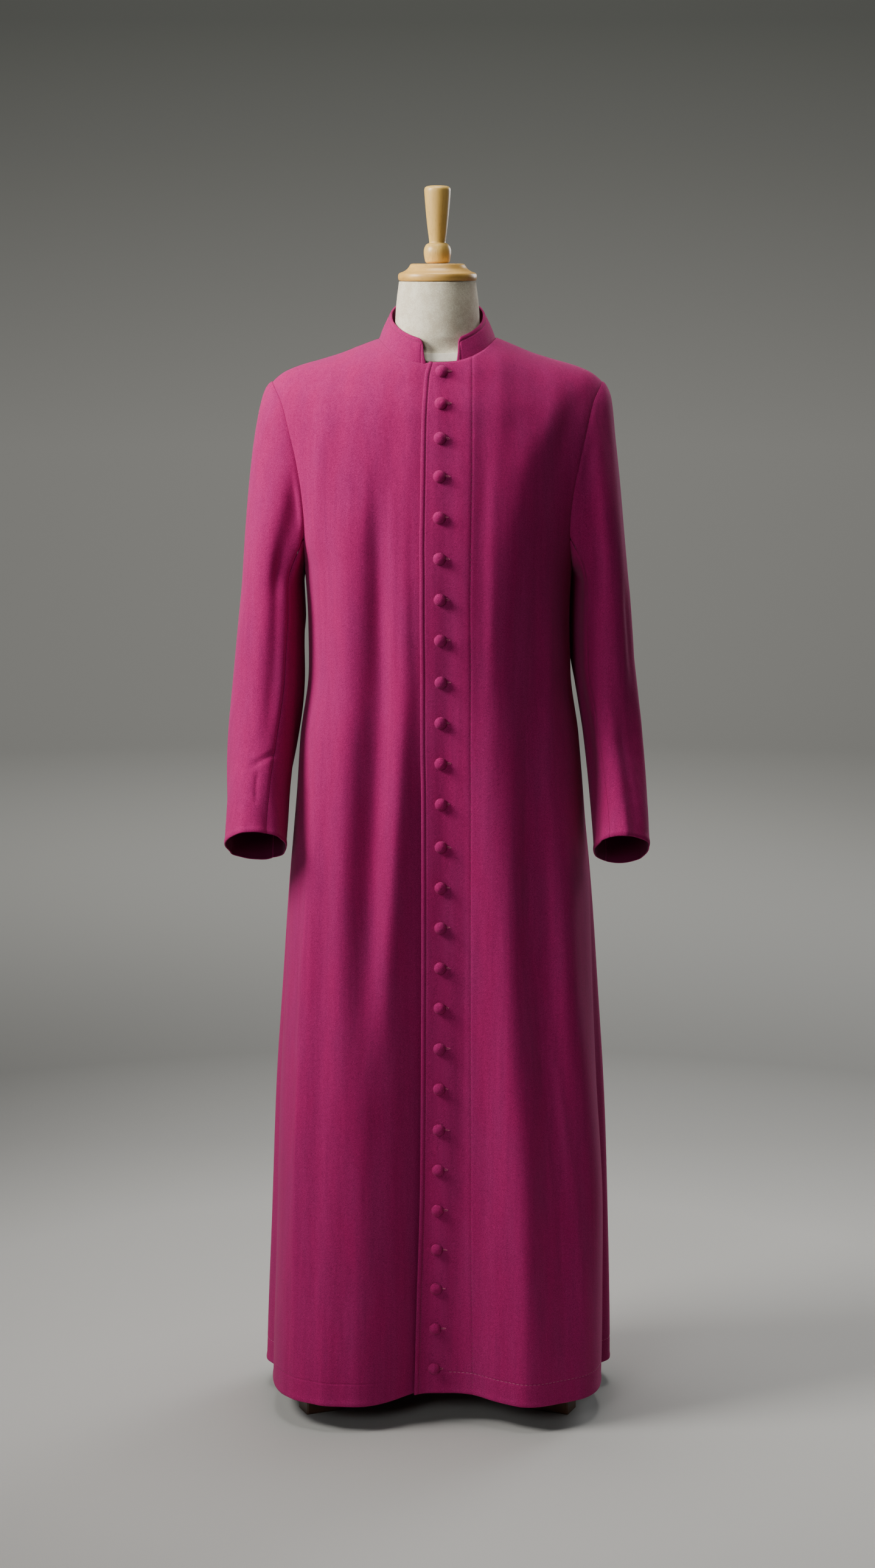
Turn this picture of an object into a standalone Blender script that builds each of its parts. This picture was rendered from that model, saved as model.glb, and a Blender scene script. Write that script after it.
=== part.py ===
"""A buttoned cassock hanging on a limbless tailor's dress form with a wooden stand.

Metres, +Z up. The origin is on the floor under the middle of the object, and the garment's
front faces -Y. Left and right are the wearer's, so the left front lies at +X and closes on top.
"""

import math
from collections import namedtuple

import bmesh
import bpy
import numpy as np
from mathutils import Vector
from mathutils.bvhtree import BVHTree

# Driving dimensions
WALL = 0.002
COLLAR_WALL = 0.0024
SEAM_GAP = 0.0003
ARMHOLE_GAP = 0.0009
SLEEVE_SEAM_GAP = 0.0013
HEM_HEIGHT = 0.038
UNDERARM_HEIGHT = 1.185
SHOULDER_HEIGHT = 1.430
NECK_HALF_WIDTH = 0.079
SHOULDER_HALF_WIDTH = 0.2225
BUTTON_RADIUS = 0.0079
BUTTON_RISE = 0.0062
BUTTON_SEAT = 0.0003
PLACKET_LIFT = WALL + 0.0006
SEAM_SHIFT = 0.00058
SEAM_EASE = 0.004
UNDERLAP_EDGE = 0.036
FACING_STITCH = 0.040
FACING_FADE = 0.022
NECK_CENTRE_Y = -0.012
NECKLINE_FRONT = 1.4575
NECKLINE_SIDE = 1.4875
NECKLINE_BACK = 1.5050
NECKLINE_LEVEL = 1.46
ROUND_OVER = 2.2
FOLD_FADE = 0.05

# Body sections: half width, depth of the front and of the back, and how square each side is
Section = namedtuple("Section", "height half_width front back square_front square_back shift")
BODY = [
    Section(0.020, 0.2490, 0.177, 0.166, 3.2, 2.7, 0.001),
    Section(0.077, 0.2478, 0.176, 0.165, 3.2, 2.7, 0.002),
    Section(0.257, 0.2415, 0.168, 0.160, 3.1, 2.6, 0.003),
    Section(0.435, 0.2342, 0.156, 0.154, 3.0, 2.6, 0.004),
    Section(0.610, 0.2226, 0.146, 0.146, 2.8, 2.5, 0.004),
    Section(0.740, 0.2125, 0.141, 0.137, 2.7, 2.5, 0.004),
    Section(0.868, 0.1992, 0.137, 0.124, 2.6, 2.4, 0.004),
    Section(0.953, 0.1906, 0.134, 0.110, 2.5, 2.4, 0.003),
    Section(1.040, 0.1792, 0.132, 0.103, 2.4, 2.4, 0.003),
    Section(1.100, 0.1785, 0.133, 0.107, 2.4, 2.4, 0.002),
    Section(1.185, 0.1825, 0.136, 0.118, 2.4, 2.4, 0.001),
    Section(1.220, 0.1900, 0.136, 0.122, 2.4, 2.4, 0.000),
    Section(1.278, 0.2015, 0.136, 0.126, 2.4, 2.4, 0.000),
    Section(1.327, 0.2130, 0.137, 0.131, 2.4, 2.4, 0.000),
    Section(1.367, 0.2230, 0.139, 0.135, 2.4, 2.4, 0.000),
    Section(1.400, 0.2300, 0.143, 0.138, 2.4, 2.4, 0.000),
    Section(1.430, 0.2360, 0.146, 0.140, 2.4, 2.4, 0.000),
    Section(1.460, 0.2370, 0.154, 0.141, 2.4, 2.4, 0.000),
    Section(1.530, 0.2370, 0.160, 0.141, 2.4, 2.4, 0.000),
]

# The line over the shoulder, from the neck's middle out; inside the neck hole it only steers the shape
Ridge = namedtuple("Ridge", "out front back")
RIDGE = [
    Ridge(0.000, 1.5050, 1.530),
    Ridge(0.050, 1.4975, 1.514),
    Ridge(0.079, 1.4875, 1.4875),
    Ridge(0.108, 1.4768, 1.4768),
    Ridge(0.129, 1.4685, 1.4685),
    Ridge(0.157, 1.4599, 1.4599),
    Ridge(0.186, 1.4515, 1.4515),
    Ridge(0.206, 1.4430, 1.4430),
    Ridge(0.2225, 1.4300, 1.4300),
    Ridge(0.240, 1.4080, 1.4080),
]

# The cut edge of each armhole, from the shoulder down to the underarm
Armhole = namedtuple("Armhole", "height front back")
ARMHOLE = [
    Armhole(1.1850, 0.1825, 0.1825),
    Armhole(1.2000, 0.1812, 0.1830),
    Armhole(1.2212, 0.1800, 0.1845),
    Armhole(1.2400, 0.1797, 0.1870),
    Armhole(1.2775, 0.1822, 0.1925),
    Armhole(1.3272, 0.1894, 0.2000),
    Armhole(1.3667, 0.1988, 0.2075),
    Armhole(1.4026, 0.2088, 0.2140),
    Armhole(1.4300, 0.2225, 0.2225),
]

# The overlapping front edge: how far it lies to the wearer's right of the middle
Edge = namedtuple("Edge", "height out")
FRONT_EDGE = [
    Edge(0.020, -0.0318),
    Edge(0.159, -0.0290),
    Edge(0.333, -0.0248),
    Edge(0.766, -0.0230),
    Edge(0.973, -0.0235),
    Edge(1.136, -0.0230),
    Edge(1.219, -0.0217),
    Edge(1.293, -0.0200),
    Edge(1.377, -0.0176),
    Edge(1.439, -0.0135),
    Edge(1.462, -0.0080),
]

# Soft folds: their path as (height, out), their rise as (height, metres), and their half width
Fold = namedtuple("Fold", "name path rise half_width power")
FRONT_FOLDS = [
    Fold("middle hollow", [(0.02, 0.006), (1.2, 0.010)],
         [(0.02, -0.056), (0.3, -0.041), (0.6, -0.023), (0.9, -0.010), (1.1, 0.0)], 0.085, 3),
    Fold("right chest ridge", [(0.3, -0.132), (1.25, -0.124)],
         [(0.2, 0.0), (0.5, 0.003), (0.9, 0.006), (1.1, 0.005), (1.28, 0.0)], 0.034, 2),
    Fold("right trough", [(0.55, -0.092), (0.70, -0.084), (1.00, -0.076), (1.30, -0.074)],
         [(0.50, 0.0), (0.72, -0.008), (1.05, -0.008), (1.18, -0.005), (1.32, 0.0)], 0.026, 2),
    Fold("right inner ridge", [(0.55, -0.060), (0.70, -0.056), (1.25, -0.048)],
         [(0.50, 0.0), (0.72, 0.005), (1.05, 0.004), (1.25, 0.0)], 0.017, 2),
    Fold("right side ridge", [(0.10, -0.214), (0.333, -0.199), (0.766, -0.172), (1.00, -0.158)],
         [(0.05, 0.002), (0.333, 0.004), (0.766, 0.004), (1.05, 0.0)], 0.014, 2),
    Fold("left long ridge", [(0.04, 0.138), (0.30, 0.112), (0.70, 0.086), (0.95, 0.079), (1.10, 0.081),
                             (1.20, 0.089), (1.29, 0.106), (1.35, 0.131), (1.41, 0.168)],
         [(0.04, 0.0), (0.30, 0.005), (0.70, 0.008), (1.10, 0.006), (1.25, 0.004), (1.36, 0.003),
          (1.42, 0.0)], 0.030, 2),
    Fold("left trough", [(0.10, 0.165), (0.30, 0.156), (0.60, 0.139), (1.10, 0.128)],
         [(0.05, 0.0), (0.25, -0.006), (0.60, -0.009), (0.90, -0.004), (1.15, 0.0)], 0.026, 2),
    Fold("left side ridge", [(0.10, 0.205), (0.333, 0.194), (0.61, 0.179), (0.9, 0.165)],
         [(0.05, 0.002), (0.333, 0.005), (0.61, 0.005), (0.95, 0.0)], 0.017, 2),
]
BACK_FOLDS = [
    Fold("back middle hollow", [(0.02, 0.004), (1.1, 0.0)],
         [(0.02, -0.020), (0.4, -0.012), (0.8, -0.004), (1.0, 0.0)], 0.030, 2),
    Fold("back right flute", [(0.02, -0.066), (1.0, -0.048)],
         [(0.02, 0.013), (0.4, 0.009), (0.8, 0.004), (1.0, 0.0)], 0.026, 2),
    Fold("back left flute", [(0.02, 0.072), (1.0, 0.052)],
         [(0.02, 0.011), (0.35, 0.008), (0.8, 0.003), (1.0, 0.0)], 0.028, 2),
    Fold("back right hollow", [(0.02, -0.122), (1.0, -0.088)],
         [(0.02, -0.014), (0.4, -0.009), (0.75, -0.003), (0.95, 0.0)], 0.026, 2),
    Fold("back left hollow", [(0.02, 0.128), (1.0, 0.092)],
         [(0.02, -0.012), (0.4, -0.008), (0.75, -0.003), (0.95, 0.0)], 0.028, 2),
    Fold("back right outer flute", [(0.02, -0.176), (1.0, -0.132)],
         [(0.02, 0.010), (0.4, 0.006), (0.8, 0.002), (1.0, 0.0)], 0.024, 2),
    Fold("back left outer flute", [(0.02, 0.182), (1.0, 0.136)],
         [(0.02, 0.009), (0.4, 0.006), (0.8, 0.002), (1.0, 0.0)], 0.026, 2),
]
# How far each front is set in from the back at its side seam, as (height, metres); the back turns in to meet it
SET_IN = [(0.02, 0.0250), (0.20, 0.0225), (0.40, 0.0180), (0.60, 0.0125), (0.80, 0.0040), (0.95, 0.0)]
SET_IN_TURN = 0.020
RIGHT_SET_IN = 0.62

# Sleeve sections: edges next to and away from the body, how far it swings forward, and how much slimmer
# the wearer's left sleeve hangs than the right one at each edge
Cuff = namedtuple("Cuff", "height inner outer middle half_depth tilt slimmer_inside slimmer_outside")
SLEEVE = [
    Cuff(1.160, 0.1850, 0.2624, -0.007, 0.0640, 0, 0.0000, 0.0030),
    Cuff(1.100, 0.1830, 0.2687, -0.006, 0.0665, 1, 0.0002, 0.0036),
    Cuff(1.042, 0.1830, 0.2742, -0.006, 0.0660, 4, 0.0008, 0.0044),
    Cuff(1.000, 0.1872, 0.2784, -0.009, 0.0645, 8, 0.0030, 0.0046),
    Cuff(0.958, 0.1935, 0.2818, -0.017, 0.0625, 12, 0.0038, 0.0042),
    Cuff(0.916, 0.1993, 0.2841, -0.029, 0.0605, 17, 0.0036, 0.0034),
    Cuff(0.874, 0.2050, 0.2860, -0.045, 0.0590, 22, 0.0026, 0.0020),
    Cuff(0.835, 0.2078, 0.2876, -0.060, 0.0575, 27, 0.0030, 0.0008),
    Cuff(0.806, 0.2092, 0.2884, -0.072, 0.0565, 30, 0.0032, 0.0006),
]
LEFT_CUFF_DROP = 0.005
CAP_SHARE = 0.36
SLEEVE_RADIUS = 0.050
CAP_LIFT = 0.0010
CAP_DROP = 0.0008
# The seams between top sleeve and under sleeve, as degrees round the sleeve from its outer side
FRONT_SEAM = [(0.0, 134.0), (0.36, 128.0), (1.0, 120.0)]
BACK_SEAM = [(0.0, 226.0), (0.36, 232.0), (1.0, 240.0)]

# Collar: its top edge, by degrees round the neck from the front
Band = namedtuple("Band", "turn top")
COLLAR_TOP = [
    Band(0, 1.4830),
    Band(20, 1.4885),
    Band(37, 1.4940),
    Band(50, 1.4993),
    Band(62, 1.5049),
    Band(74, 1.5105),
    Band(90, 1.5195),
    Band(106, 1.5265),
    Band(140, 1.5380),
    Band(180, 1.5430),
]
COLLAR_TOP_HALF_WIDTH = 0.0628
COLLAR_TOP_FRONT = 0.0755
COLLAR_TOP_BACK = 0.0515
COLLAR_RIGHT_END = (-10.5, -17.8)
COLLAR_LEFT_END = (17.4, 25.6)
COLLAR_CORNER = 0.007
COLLAR_LENGTH = 0.36
COLLAR_BULGE = 0.0012

# Buttons: heights of the row down the front, and how far out it runs
BUTTON_HEIGHTS = [
    1.4454, 1.4043, 1.3597, 1.3104, 1.2567, 1.2029, 1.1488, 1.0944, 1.0377, 0.9829, 0.9278, 0.8725, 0.8140,
    0.7580, 0.7029, 0.6475, 0.5918, 0.5349, 0.4787, 0.4213, 0.3646, 0.3077, 0.2517, 0.1954, 0.1378, 0.0799,
]
BUTTON_LINE = [Edge(0.080, -0.0033), Edge(0.250, 0.0000), Edge(0.480, 0.0021), Edge(0.900, 0.0042),
               Edge(1.310, 0.0051), Edge(1.450, 0.0072)]

# The dress form's own sections, up to the shoulders
Torso = namedtuple("Torso", "height half_width front back")
TORSO = [
    Torso(0.740, 0.148, 0.098, 0.092),
    Torso(0.760, 0.156, 0.106, 0.099),
    Torso(0.880, 0.162, 0.112, 0.104),
    Torso(1.040, 0.140, 0.103, 0.083),
    Torso(1.150, 0.160, 0.118, 0.096),
    Torso(1.250, 0.171, 0.128, 0.114),
    Torso(1.330, 0.181, 0.126, 0.120),
    Torso(1.380, 0.193, 0.122, 0.120),
    Torso(1.415, 0.2035, 0.112, 0.112),
]
# Above that it narrows along the shoulders to the neck
Neck = namedtuple("Neck", "height half_width front back")
NECK = [
    Neck(1.4320, 0.2060, 0.090, 0.100),
    Neck(1.4415, 0.1900, 0.078, 0.090),
    Neck(1.4500, 0.1640, 0.072, 0.080),
    Neck(1.4590, 0.1380, 0.068, 0.070),
    Neck(1.4680, 0.1080, 0.062, 0.060),
    Neck(1.4770, 0.0800, 0.056, 0.050),
    Neck(1.4880, 0.0608, 0.0560, 0.0460),
    Neck(1.5050, 0.0568, 0.0560, 0.0450),
    Neck(1.5200, 0.0562, 0.0558, 0.0440),
    Neck(1.5400, 0.0545, 0.0545, 0.0430),
    Neck(1.5632, 0.0515, 0.0515, 0.0410),
]
TORSO_CLEARANCE = 0.0028

# Turned wood: (radius, height), from the outside top down
CAP_PROFILE = [(0.0330, 1.5870), (0.0360, 1.5862), (0.0372, 1.5845), (0.0400, 1.5800), (0.0455, 1.5762),
               (0.0505, 1.5748), (0.0524, 1.5730), (0.0530, 1.5695), (0.0524, 1.5660), (0.0508, 1.5636)]
FINIAL_PROFILE = [(0.0080, 1.6896), (0.0150, 1.6884), (0.0174, 1.6860), (0.0177, 1.6820), (0.0160, 1.6600),
                  (0.0135, 1.6350), (0.0108, 1.6152), (0.0150, 1.6124), (0.0178, 1.6075), (0.0184, 1.6015),
                  (0.0176, 1.5950), (0.0160, 1.5874)]
HUB_APOTHEM = 0.048
HUB_BOTTOM = 0.062
HUB_TOP = 0.138
POLE_RADIUS = 0.014
LEG_HALF_WIDTH = 0.018
LEG_EDGE = 0.002
LEG_TURNS = (-67.5, 67.5, 112.5, 247.5)
# A leg seen from its side: (out from the pole, height)
LEG_OUTLINE = [(0.0, 0.074), (0.0, 0.126), (0.024, 0.120), (0.052, 0.090), (0.076, 0.053), (0.094, 0.036),
               (0.118, 0.029), (0.1557, 0.026), (0.1557, 0.0), (0.100, 0.0), (0.076, 0.011), (0.050, 0.038),
               (0.024, 0.066)]


def curve_through(points):
    """A smooth function through (place, value) points, with no overshoot, level past its ends."""
    ordered = sorted(points)
    places = np.array([p[0] for p in ordered], float)
    values = np.array([p[1] for p in ordered], float)
    slopes = np.diff(values) / np.diff(places)
    tangents = np.zeros(len(values))
    both = slopes[:-1] * slopes[1:]
    with np.errstate(divide="ignore", invalid="ignore"):
        shared = 2 * both / (slopes[:-1] + slopes[1:])
    tangents[1:-1] = np.where(both > 0, shared, 0.0)
    tangents[0] = slopes[0]
    tangents[-1] = slopes[-1]

    def value(place):
        place = np.clip(np.asarray(place, float), places[0], places[-1])
        i = np.clip(np.searchsorted(places, place) - 1, 0, len(slopes) - 1)
        step = places[i + 1] - places[i]
        t = (place - places[i]) / step
        return ((2 * t**3 - 3 * t**2 + 1) * values[i] + (t**3 - 2 * t**2 + t) * step * tangents[i]
                + (3 * t**2 - 2 * t**3) * values[i + 1] + (t**3 - t**2) * step * tangents[i + 1])

    return value


def column(rows, name, by="height"):
    """A smooth function of height through one named column of a table."""
    return curve_through([(getattr(row, by), getattr(row, name)) for row in rows])


half_width = column(BODY, "half_width")
front_depth = column(BODY, "front")
back_depth = column(BODY, "back")
square_front = column(BODY, "square_front")
square_back = column(BODY, "square_back")
body_shift = column(BODY, "shift")
ridge_front = column(RIDGE, "front", by="out")
ridge_back = column(RIDGE, "back", by="out")
armhole_front = column(ARMHOLE, "front")
armhole_back = column(ARMHOLE, "back")
front_edge = column(FRONT_EDGE, "out")
button_line = column(BUTTON_LINE, "out")
set_in = curve_through(SET_IN)


def shoulder_round(out, height, back):
    """How far the section has opened below the shoulder line: 0 on the line, 1 at the underarm."""
    top = np.where(back, ridge_back(out), ridge_front(out))
    down = np.clip((top - height) / (top - UNDERARM_HEIGHT), 0, 1)
    return np.sqrt(1 - (1 - down) ** ROUND_OVER)


def fold_rise(folds, x, height):
    """How far the folds together lift the cloth: each is a bell across its path."""
    rise = np.zeros_like(x)
    for fold in folds:
        away = np.abs(x - curve_through(fold.path)(height)) / fold.half_width
        rise = rise + curve_through(fold.rise)(height) * np.exp(-away**fold.power)
    return rise


def side_set_in(height, side):
    """How far the front's side edge lies in from the back's, less on the wearer's right."""
    return set_in(height) * np.where(side < 0, RIGHT_SET_IN, 1.0)


def panel_half_width(height, back, side):
    """Half the width of the section that the front or the back lies on."""
    return half_width(height) - np.where(back, 0.0, side_set_in(height, side))


def unlifted_point(x, height, back):
    """The outer face of the body's cloth at x and height: a squared oval, rounded off over the shoulder,
    with its folds added along the way it faces."""
    wide = panel_half_width(height, back, x)
    deep = np.where(back, back_depth(height), front_depth(height))
    power = np.where(back, square_back(height), square_front(height))
    share = np.clip(np.abs(x) / wide, 0, 1)
    rest = np.clip(1 - share**power, 0, 1)
    oval = rest ** (1 / power)
    y = deep * oval * shoulder_round(np.abs(x), height, back)
    across = share ** (power - 1) / wide
    along = oval ** (power - 1) / deep
    size = np.hypot(across, along)
    face_x = np.sign(x) * across / size
    face_y = along / size
    rise = np.where(back, fold_rise(BACK_FOLDS, x, height), fold_rise(FRONT_FOLDS, x, height))
    rise = rise * np.clip(y / FOLD_FADE, 0, 1)
    turned_in = np.where(back, side_set_in(height, x) * np.exp(-((y / SET_IN_TURN) ** 2)), 0.0)
    out = x + face_x * rise - np.sign(x) * turned_in + body_shift(height)
    return np.stack([out, np.where(back, 1.0, -1.0) * (y + face_y * rise), height], axis=-1)


def body_point(x, height, back, lift=0.0):
    """The cloth's outer face, moved out by lift along its own normal."""
    x, height, back = np.broadcast_arrays(np.asarray(x, float), height, back)
    points = unlifted_point(x, height, back)
    if np.any(lift):
        step = 0.0004
        across = unlifted_point(x + step, height, back) - unlifted_point(x - step, height, back)
        upward = unlifted_point(x, height + step, back) - unlifted_point(x, height - step, back)
        facing = np.cross(across, upward) * np.where(back, -1.0, 1.0)[..., None]
        facing = facing / np.linalg.norm(facing, axis=-1, keepdims=True)
        points = points + facing * np.broadcast_to(lift, x.shape)[..., None]
    return points


def turned_x(turn, height, back):
    """x on the squared oval at an angle from the middle, in radians."""
    power = np.where(back, square_back(height), square_front(height))
    wide = panel_half_width(height, back, turn)
    return wide * np.sign(np.sin(turn)) * np.abs(np.sin(turn)) ** (2 / power)


def neckline_height(turn, back):
    """Height of the collar seam at an angle round the neck: low in front, highest behind."""
    front = NECKLINE_FRONT + (NECKLINE_SIDE - NECKLINE_FRONT) * np.abs(np.sin(turn)) ** 2.6
    rear = NECKLINE_SIDE + (NECKLINE_BACK - NECKLINE_SIDE) * np.abs(np.cos(turn)) ** 1.5
    return np.where(back, rear, front)


def neck_x(share, start, side):
    """x along the neckline from start out to the foot of the shoulder seam."""
    first = math.asin(start / NECK_HALF_WIDTH)
    return NECK_HALF_WIDTH * np.sin(first + (side * math.pi / 2 - first) * share)


def neck_turn(x):
    """The angle round the neckline at x, from the middle."""
    return np.arcsin(np.clip(x / NECK_HALF_WIDTH, -1, 1))


def below_top(z_top, down):
    """Height of a point a share of the way down: 0 at the top edge, 1 at the underarm, 2 at the hem."""
    upper = np.clip(down, 0, 1) ** ROW_EASE
    lower = np.clip(down - 1, 0, 1)
    return z_top + (UNDERARM_HEIGHT - z_top) * upper + (HEM_HEIGHT - UNDERARM_HEIGHT) * lower


def half_panel(across, down, side, back, start):
    """A half panel's x and height. across runs from its middle edge at x = start to the side."""
    on_neck = across < NECK_SHARE
    along = np.clip((across - NECK_SHARE) / (1 - NECK_SHARE), 0, 1)
    x_neck = neck_x(np.clip(across / NECK_SHARE, 0, 1), start(NECKLINE_LEVEL), side)
    x_shoulder = side * (NECK_HALF_WIDTH + (SHOULDER_HALF_WIDTH - NECK_HALF_WIDTH) * along)
    x_top = np.where(on_neck, x_neck, x_shoulder)
    z_top = np.where(on_neck, neckline_height(neck_turn(x_neck), back), ridge_front(np.abs(x_shoulder)))
    height = below_top(z_top, down)
    upper = np.clip(down, 0, 1)
    straight = x_top + (oval_x(across, UNDERARM_HEIGHT, side, back, start) - x_top) * upper
    edge_height = below_top(SHOULDER_HEIGHT, down)
    cut = (armhole_back if back else armhole_front)(edge_height)
    edge = SHOULDER_HALF_WIDTH + (half_width(UNDERARM_HEIGHT) - SHOULDER_HALF_WIDTH) * upper
    x_up = straight + side * (cut - edge) * across**2.5
    middle = start(NECKLINE_LEVEL) + (start(UNDERARM_HEIGHT) - start(NECKLINE_LEVEL)) * upper
    x_up = x_up + (start(height) - middle) * np.clip(1 - across * 3, 0, 1) ** 2
    x_low = oval_x(across, height, side, back, start)
    return np.where(down > 1, x_low, x_up), height


def oval_x(across, height, side, back, start):
    """x on the section at that share of the way round from the middle edge to the side."""
    height = np.broadcast_to(height, across.shape)
    power = np.where(back, square_back(height), square_front(height))
    begin = start(height)
    wide = panel_half_width(height, back, side)
    first = np.arcsin(np.clip(np.abs(begin) / wide, 0, 1) ** (power / 2)) * np.sign(begin)
    return turned_x(first + (side * math.pi / 2 - first) * across, height, back)


def overlap(share, down):
    """x and height where the two fronts lie on each other, from the top one's edge to the under one's."""
    x_top = front_edge(NECKLINE_LEVEL) + (UNDERLAP_EDGE - front_edge(NECKLINE_LEVEL)) * share
    height = below_top(neckline_height(neck_turn(x_top), False), down)
    return front_edge(height) + (UNDERLAP_EDGE - front_edge(height)) * share, height


def placket_lift(x):
    """The overlapping front rides on the under one out to the facing's stitch line."""
    down = np.clip((x - FACING_STITCH) / FACING_FADE, 0, 1)
    return PLACKET_LIFT * (1 - down * down * (3 - 2 * down))


# Rows and columns of the panels; the shares say where neckline and shoulder seam meet along the top
BODY_ROWS = 28
UPPER_ROWS = 12
HALF_COLUMNS = 12
OVERLAP_COLUMNS = 3
NECK_COLUMNS = 6
NECK_SHARE = NECK_COLUMNS / HALF_COLUMNS
ROW_EASE = 2.0
TOP_SLEEVE_COLUMNS = 12
UNDER_SLEEVE_COLUMNS = 7
SLEEVE_ROWS = 17
COLLAR_ROWS = 4


def grid_mesh(columns, rows):
    """A flat grid of quads as a bmesh, and its points' shares across and down."""
    work = bmesh.new()
    bmesh.ops.create_grid(work, x_segments=columns, y_segments=rows, size=1)
    flat = np.array([vert.co for vert in work.verts])
    return work, (flat[:, 0] + 1) / 2, (1 - flat[:, 1]) / 2


def place_points(work, points):
    """Move each vertex of the grid to its own point."""
    for vert, point in zip(work.verts, points):
        vert.co = point


def new_object(name, mesh, material, collection):
    """An object of that name with its own material, in the collection."""
    thing = bpy.data.objects.new(name, mesh)
    collection.objects.link(thing)
    mesh.materials.append(material)
    return thing


def cloth(name, columns, rows, place, wall, material, collection, flip):
    """A piece of cloth: a grid moved onto its outer face, given its wall inwards by Solidify."""
    work, across, down = grid_mesh(columns, rows)
    place_points(work, place(across, down))
    if flip:
        bmesh.ops.reverse_faces(work, faces=work.faces)
    mesh = bpy.data.meshes.new(name)
    work.to_mesh(mesh)
    work.free()
    mesh.shade_smooth()
    thing = new_object(name, mesh, material, collection)
    solid = thing.modifiers.new("wall", "SOLIDIFY")
    solid.thickness = wall
    solid.offset = -1
    solid.use_even_offset = False
    return thing


def closed_tube(name, around, along, place, material, collection):
    """A solid whose rings are given by place(share round, share up), closed at both ends."""
    work, turn, up = grid_mesh(around, along)
    place_points(work, place(turn, 1 - up))
    bmesh.ops.remove_doubles(work, verts=work.verts, dist=1e-6)
    bmesh.ops.holes_fill(work, edges=work.edges)
    bmesh.ops.recalc_face_normals(work, faces=work.faces)
    mesh = bpy.data.meshes.new(name)
    work.to_mesh(mesh)
    work.free()
    mesh.shade_smooth()
    return new_object(name, mesh, material, collection)


def spread_rows(down, rows, upper_rows):
    """Rows of a body panel: upper_rows of them above the underarm, the rest below it."""
    row = down * rows
    return np.where(row < upper_rows, row / upper_rows, 1 + (row - upper_rows) / (rows - upper_rows))


def part_at_seams(points, back):
    """Draw a panel back from the shoulder and side seams by the width of the seam's gap."""
    away = np.abs(points[:, 1])
    side = 1 if back else -1
    points[:, 1] += side * SEAM_SHIFT * np.clip(1 - away / SEAM_EASE, 0, 1)
    return points


def front_panel(name, side, material, collection):
    """Wearer's left (side 1), which closes on top, or right (side -1), which runs on under it."""
    on_top = side > 0
    columns = OVERLAP_COLUMNS + HALF_COLUMNS
    under_edge = curve_through([(0.0, UNDERLAP_EDGE), (1.5, UNDERLAP_EDGE)])
    start = under_edge if on_top else front_edge

    def place(across, down):
        down = spread_rows(down, BODY_ROWS, UPPER_ROWS)
        column_at = across * columns
        share = np.clip(column_at / OVERLAP_COLUMNS, 0, 1)
        lap_x, lap_height = overlap(share if on_top else 1 - share, down)
        rest = np.clip((column_at - OVERLAP_COLUMNS) / HALF_COLUMNS, 0, 1)
        rest_x, rest_height = half_panel(rest, down, side, False, start)
        in_lap = column_at < OVERLAP_COLUMNS + 0.5
        x = np.where(in_lap, lap_x, rest_x)
        height = np.where(in_lap, lap_height, rest_height)
        lift = placket_lift(x) if on_top else 0.0
        return part_at_seams(body_point(x, height, False, lift), False)

    return cloth(name, columns, BODY_ROWS, place, WALL, material, collection, flip=side < 0)


def back_panel(material, collection):
    """The back, in one piece from side seam to side seam."""
    middle = curve_through([(0.0, 1e-6), (1.6, 1e-6)])

    def place(across, down):
        down = spread_rows(down, BODY_ROWS, UPPER_ROWS)
        out = 2 * across - 1
        x, height = half_panel(np.abs(out), down, 1, True, middle)
        x = np.sign(out) * x
        return part_at_seams(body_point(x, height, True), True)

    return cloth("back", 2 * HALF_COLUMNS, BODY_ROWS, place, WALL, material, collection, flip=True)


def armhole_loop(turn, side):
    """The cut edge of the armhole at an angle from its top, forwards; the sleeve is set onto it."""
    middle = (SHOULDER_HEIGHT + UNDERARM_HEIGHT) / 2
    reach = (SHOULDER_HEIGHT - UNDERARM_HEIGHT) / 2
    height = middle + reach * np.cos(turn)
    back = np.sin(turn) < 0
    out = np.where(back, armhole_back(height), armhole_front(height))
    loop = body_point(side * out, height, back)
    loop[:, 0] += side * (ARMHOLE_GAP + CAP_LIFT * np.clip(np.cos(turn), 0, 1) ** 3)
    loop[:, 2] += CAP_LIFT * np.cos(turn) - CAP_DROP
    return loop


def sleeve_ring(turn, height, side):
    """A section of the sleeve: an oval across it, tilted so that its front is higher."""
    inner = column(SLEEVE, "inner")(height) + side * column(SLEEVE, "slimmer_inside")(height)
    outer = column(SLEEVE, "outer")(height) - side * column(SLEEVE, "slimmer_outside")(height)
    depth = column(SLEEVE, "half_depth")(height)
    tilt = np.radians(column(SLEEVE, "tilt")(height))
    x = (inner + outer) / 2 + (outer - inner) / 2 * np.cos(turn)
    forward = depth * np.sin(turn)
    y = column(SLEEVE, "middle")(height) - forward * np.cos(tilt)
    return np.stack([side * x, y, height + forward * np.sin(tilt)], axis=-1)


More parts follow.
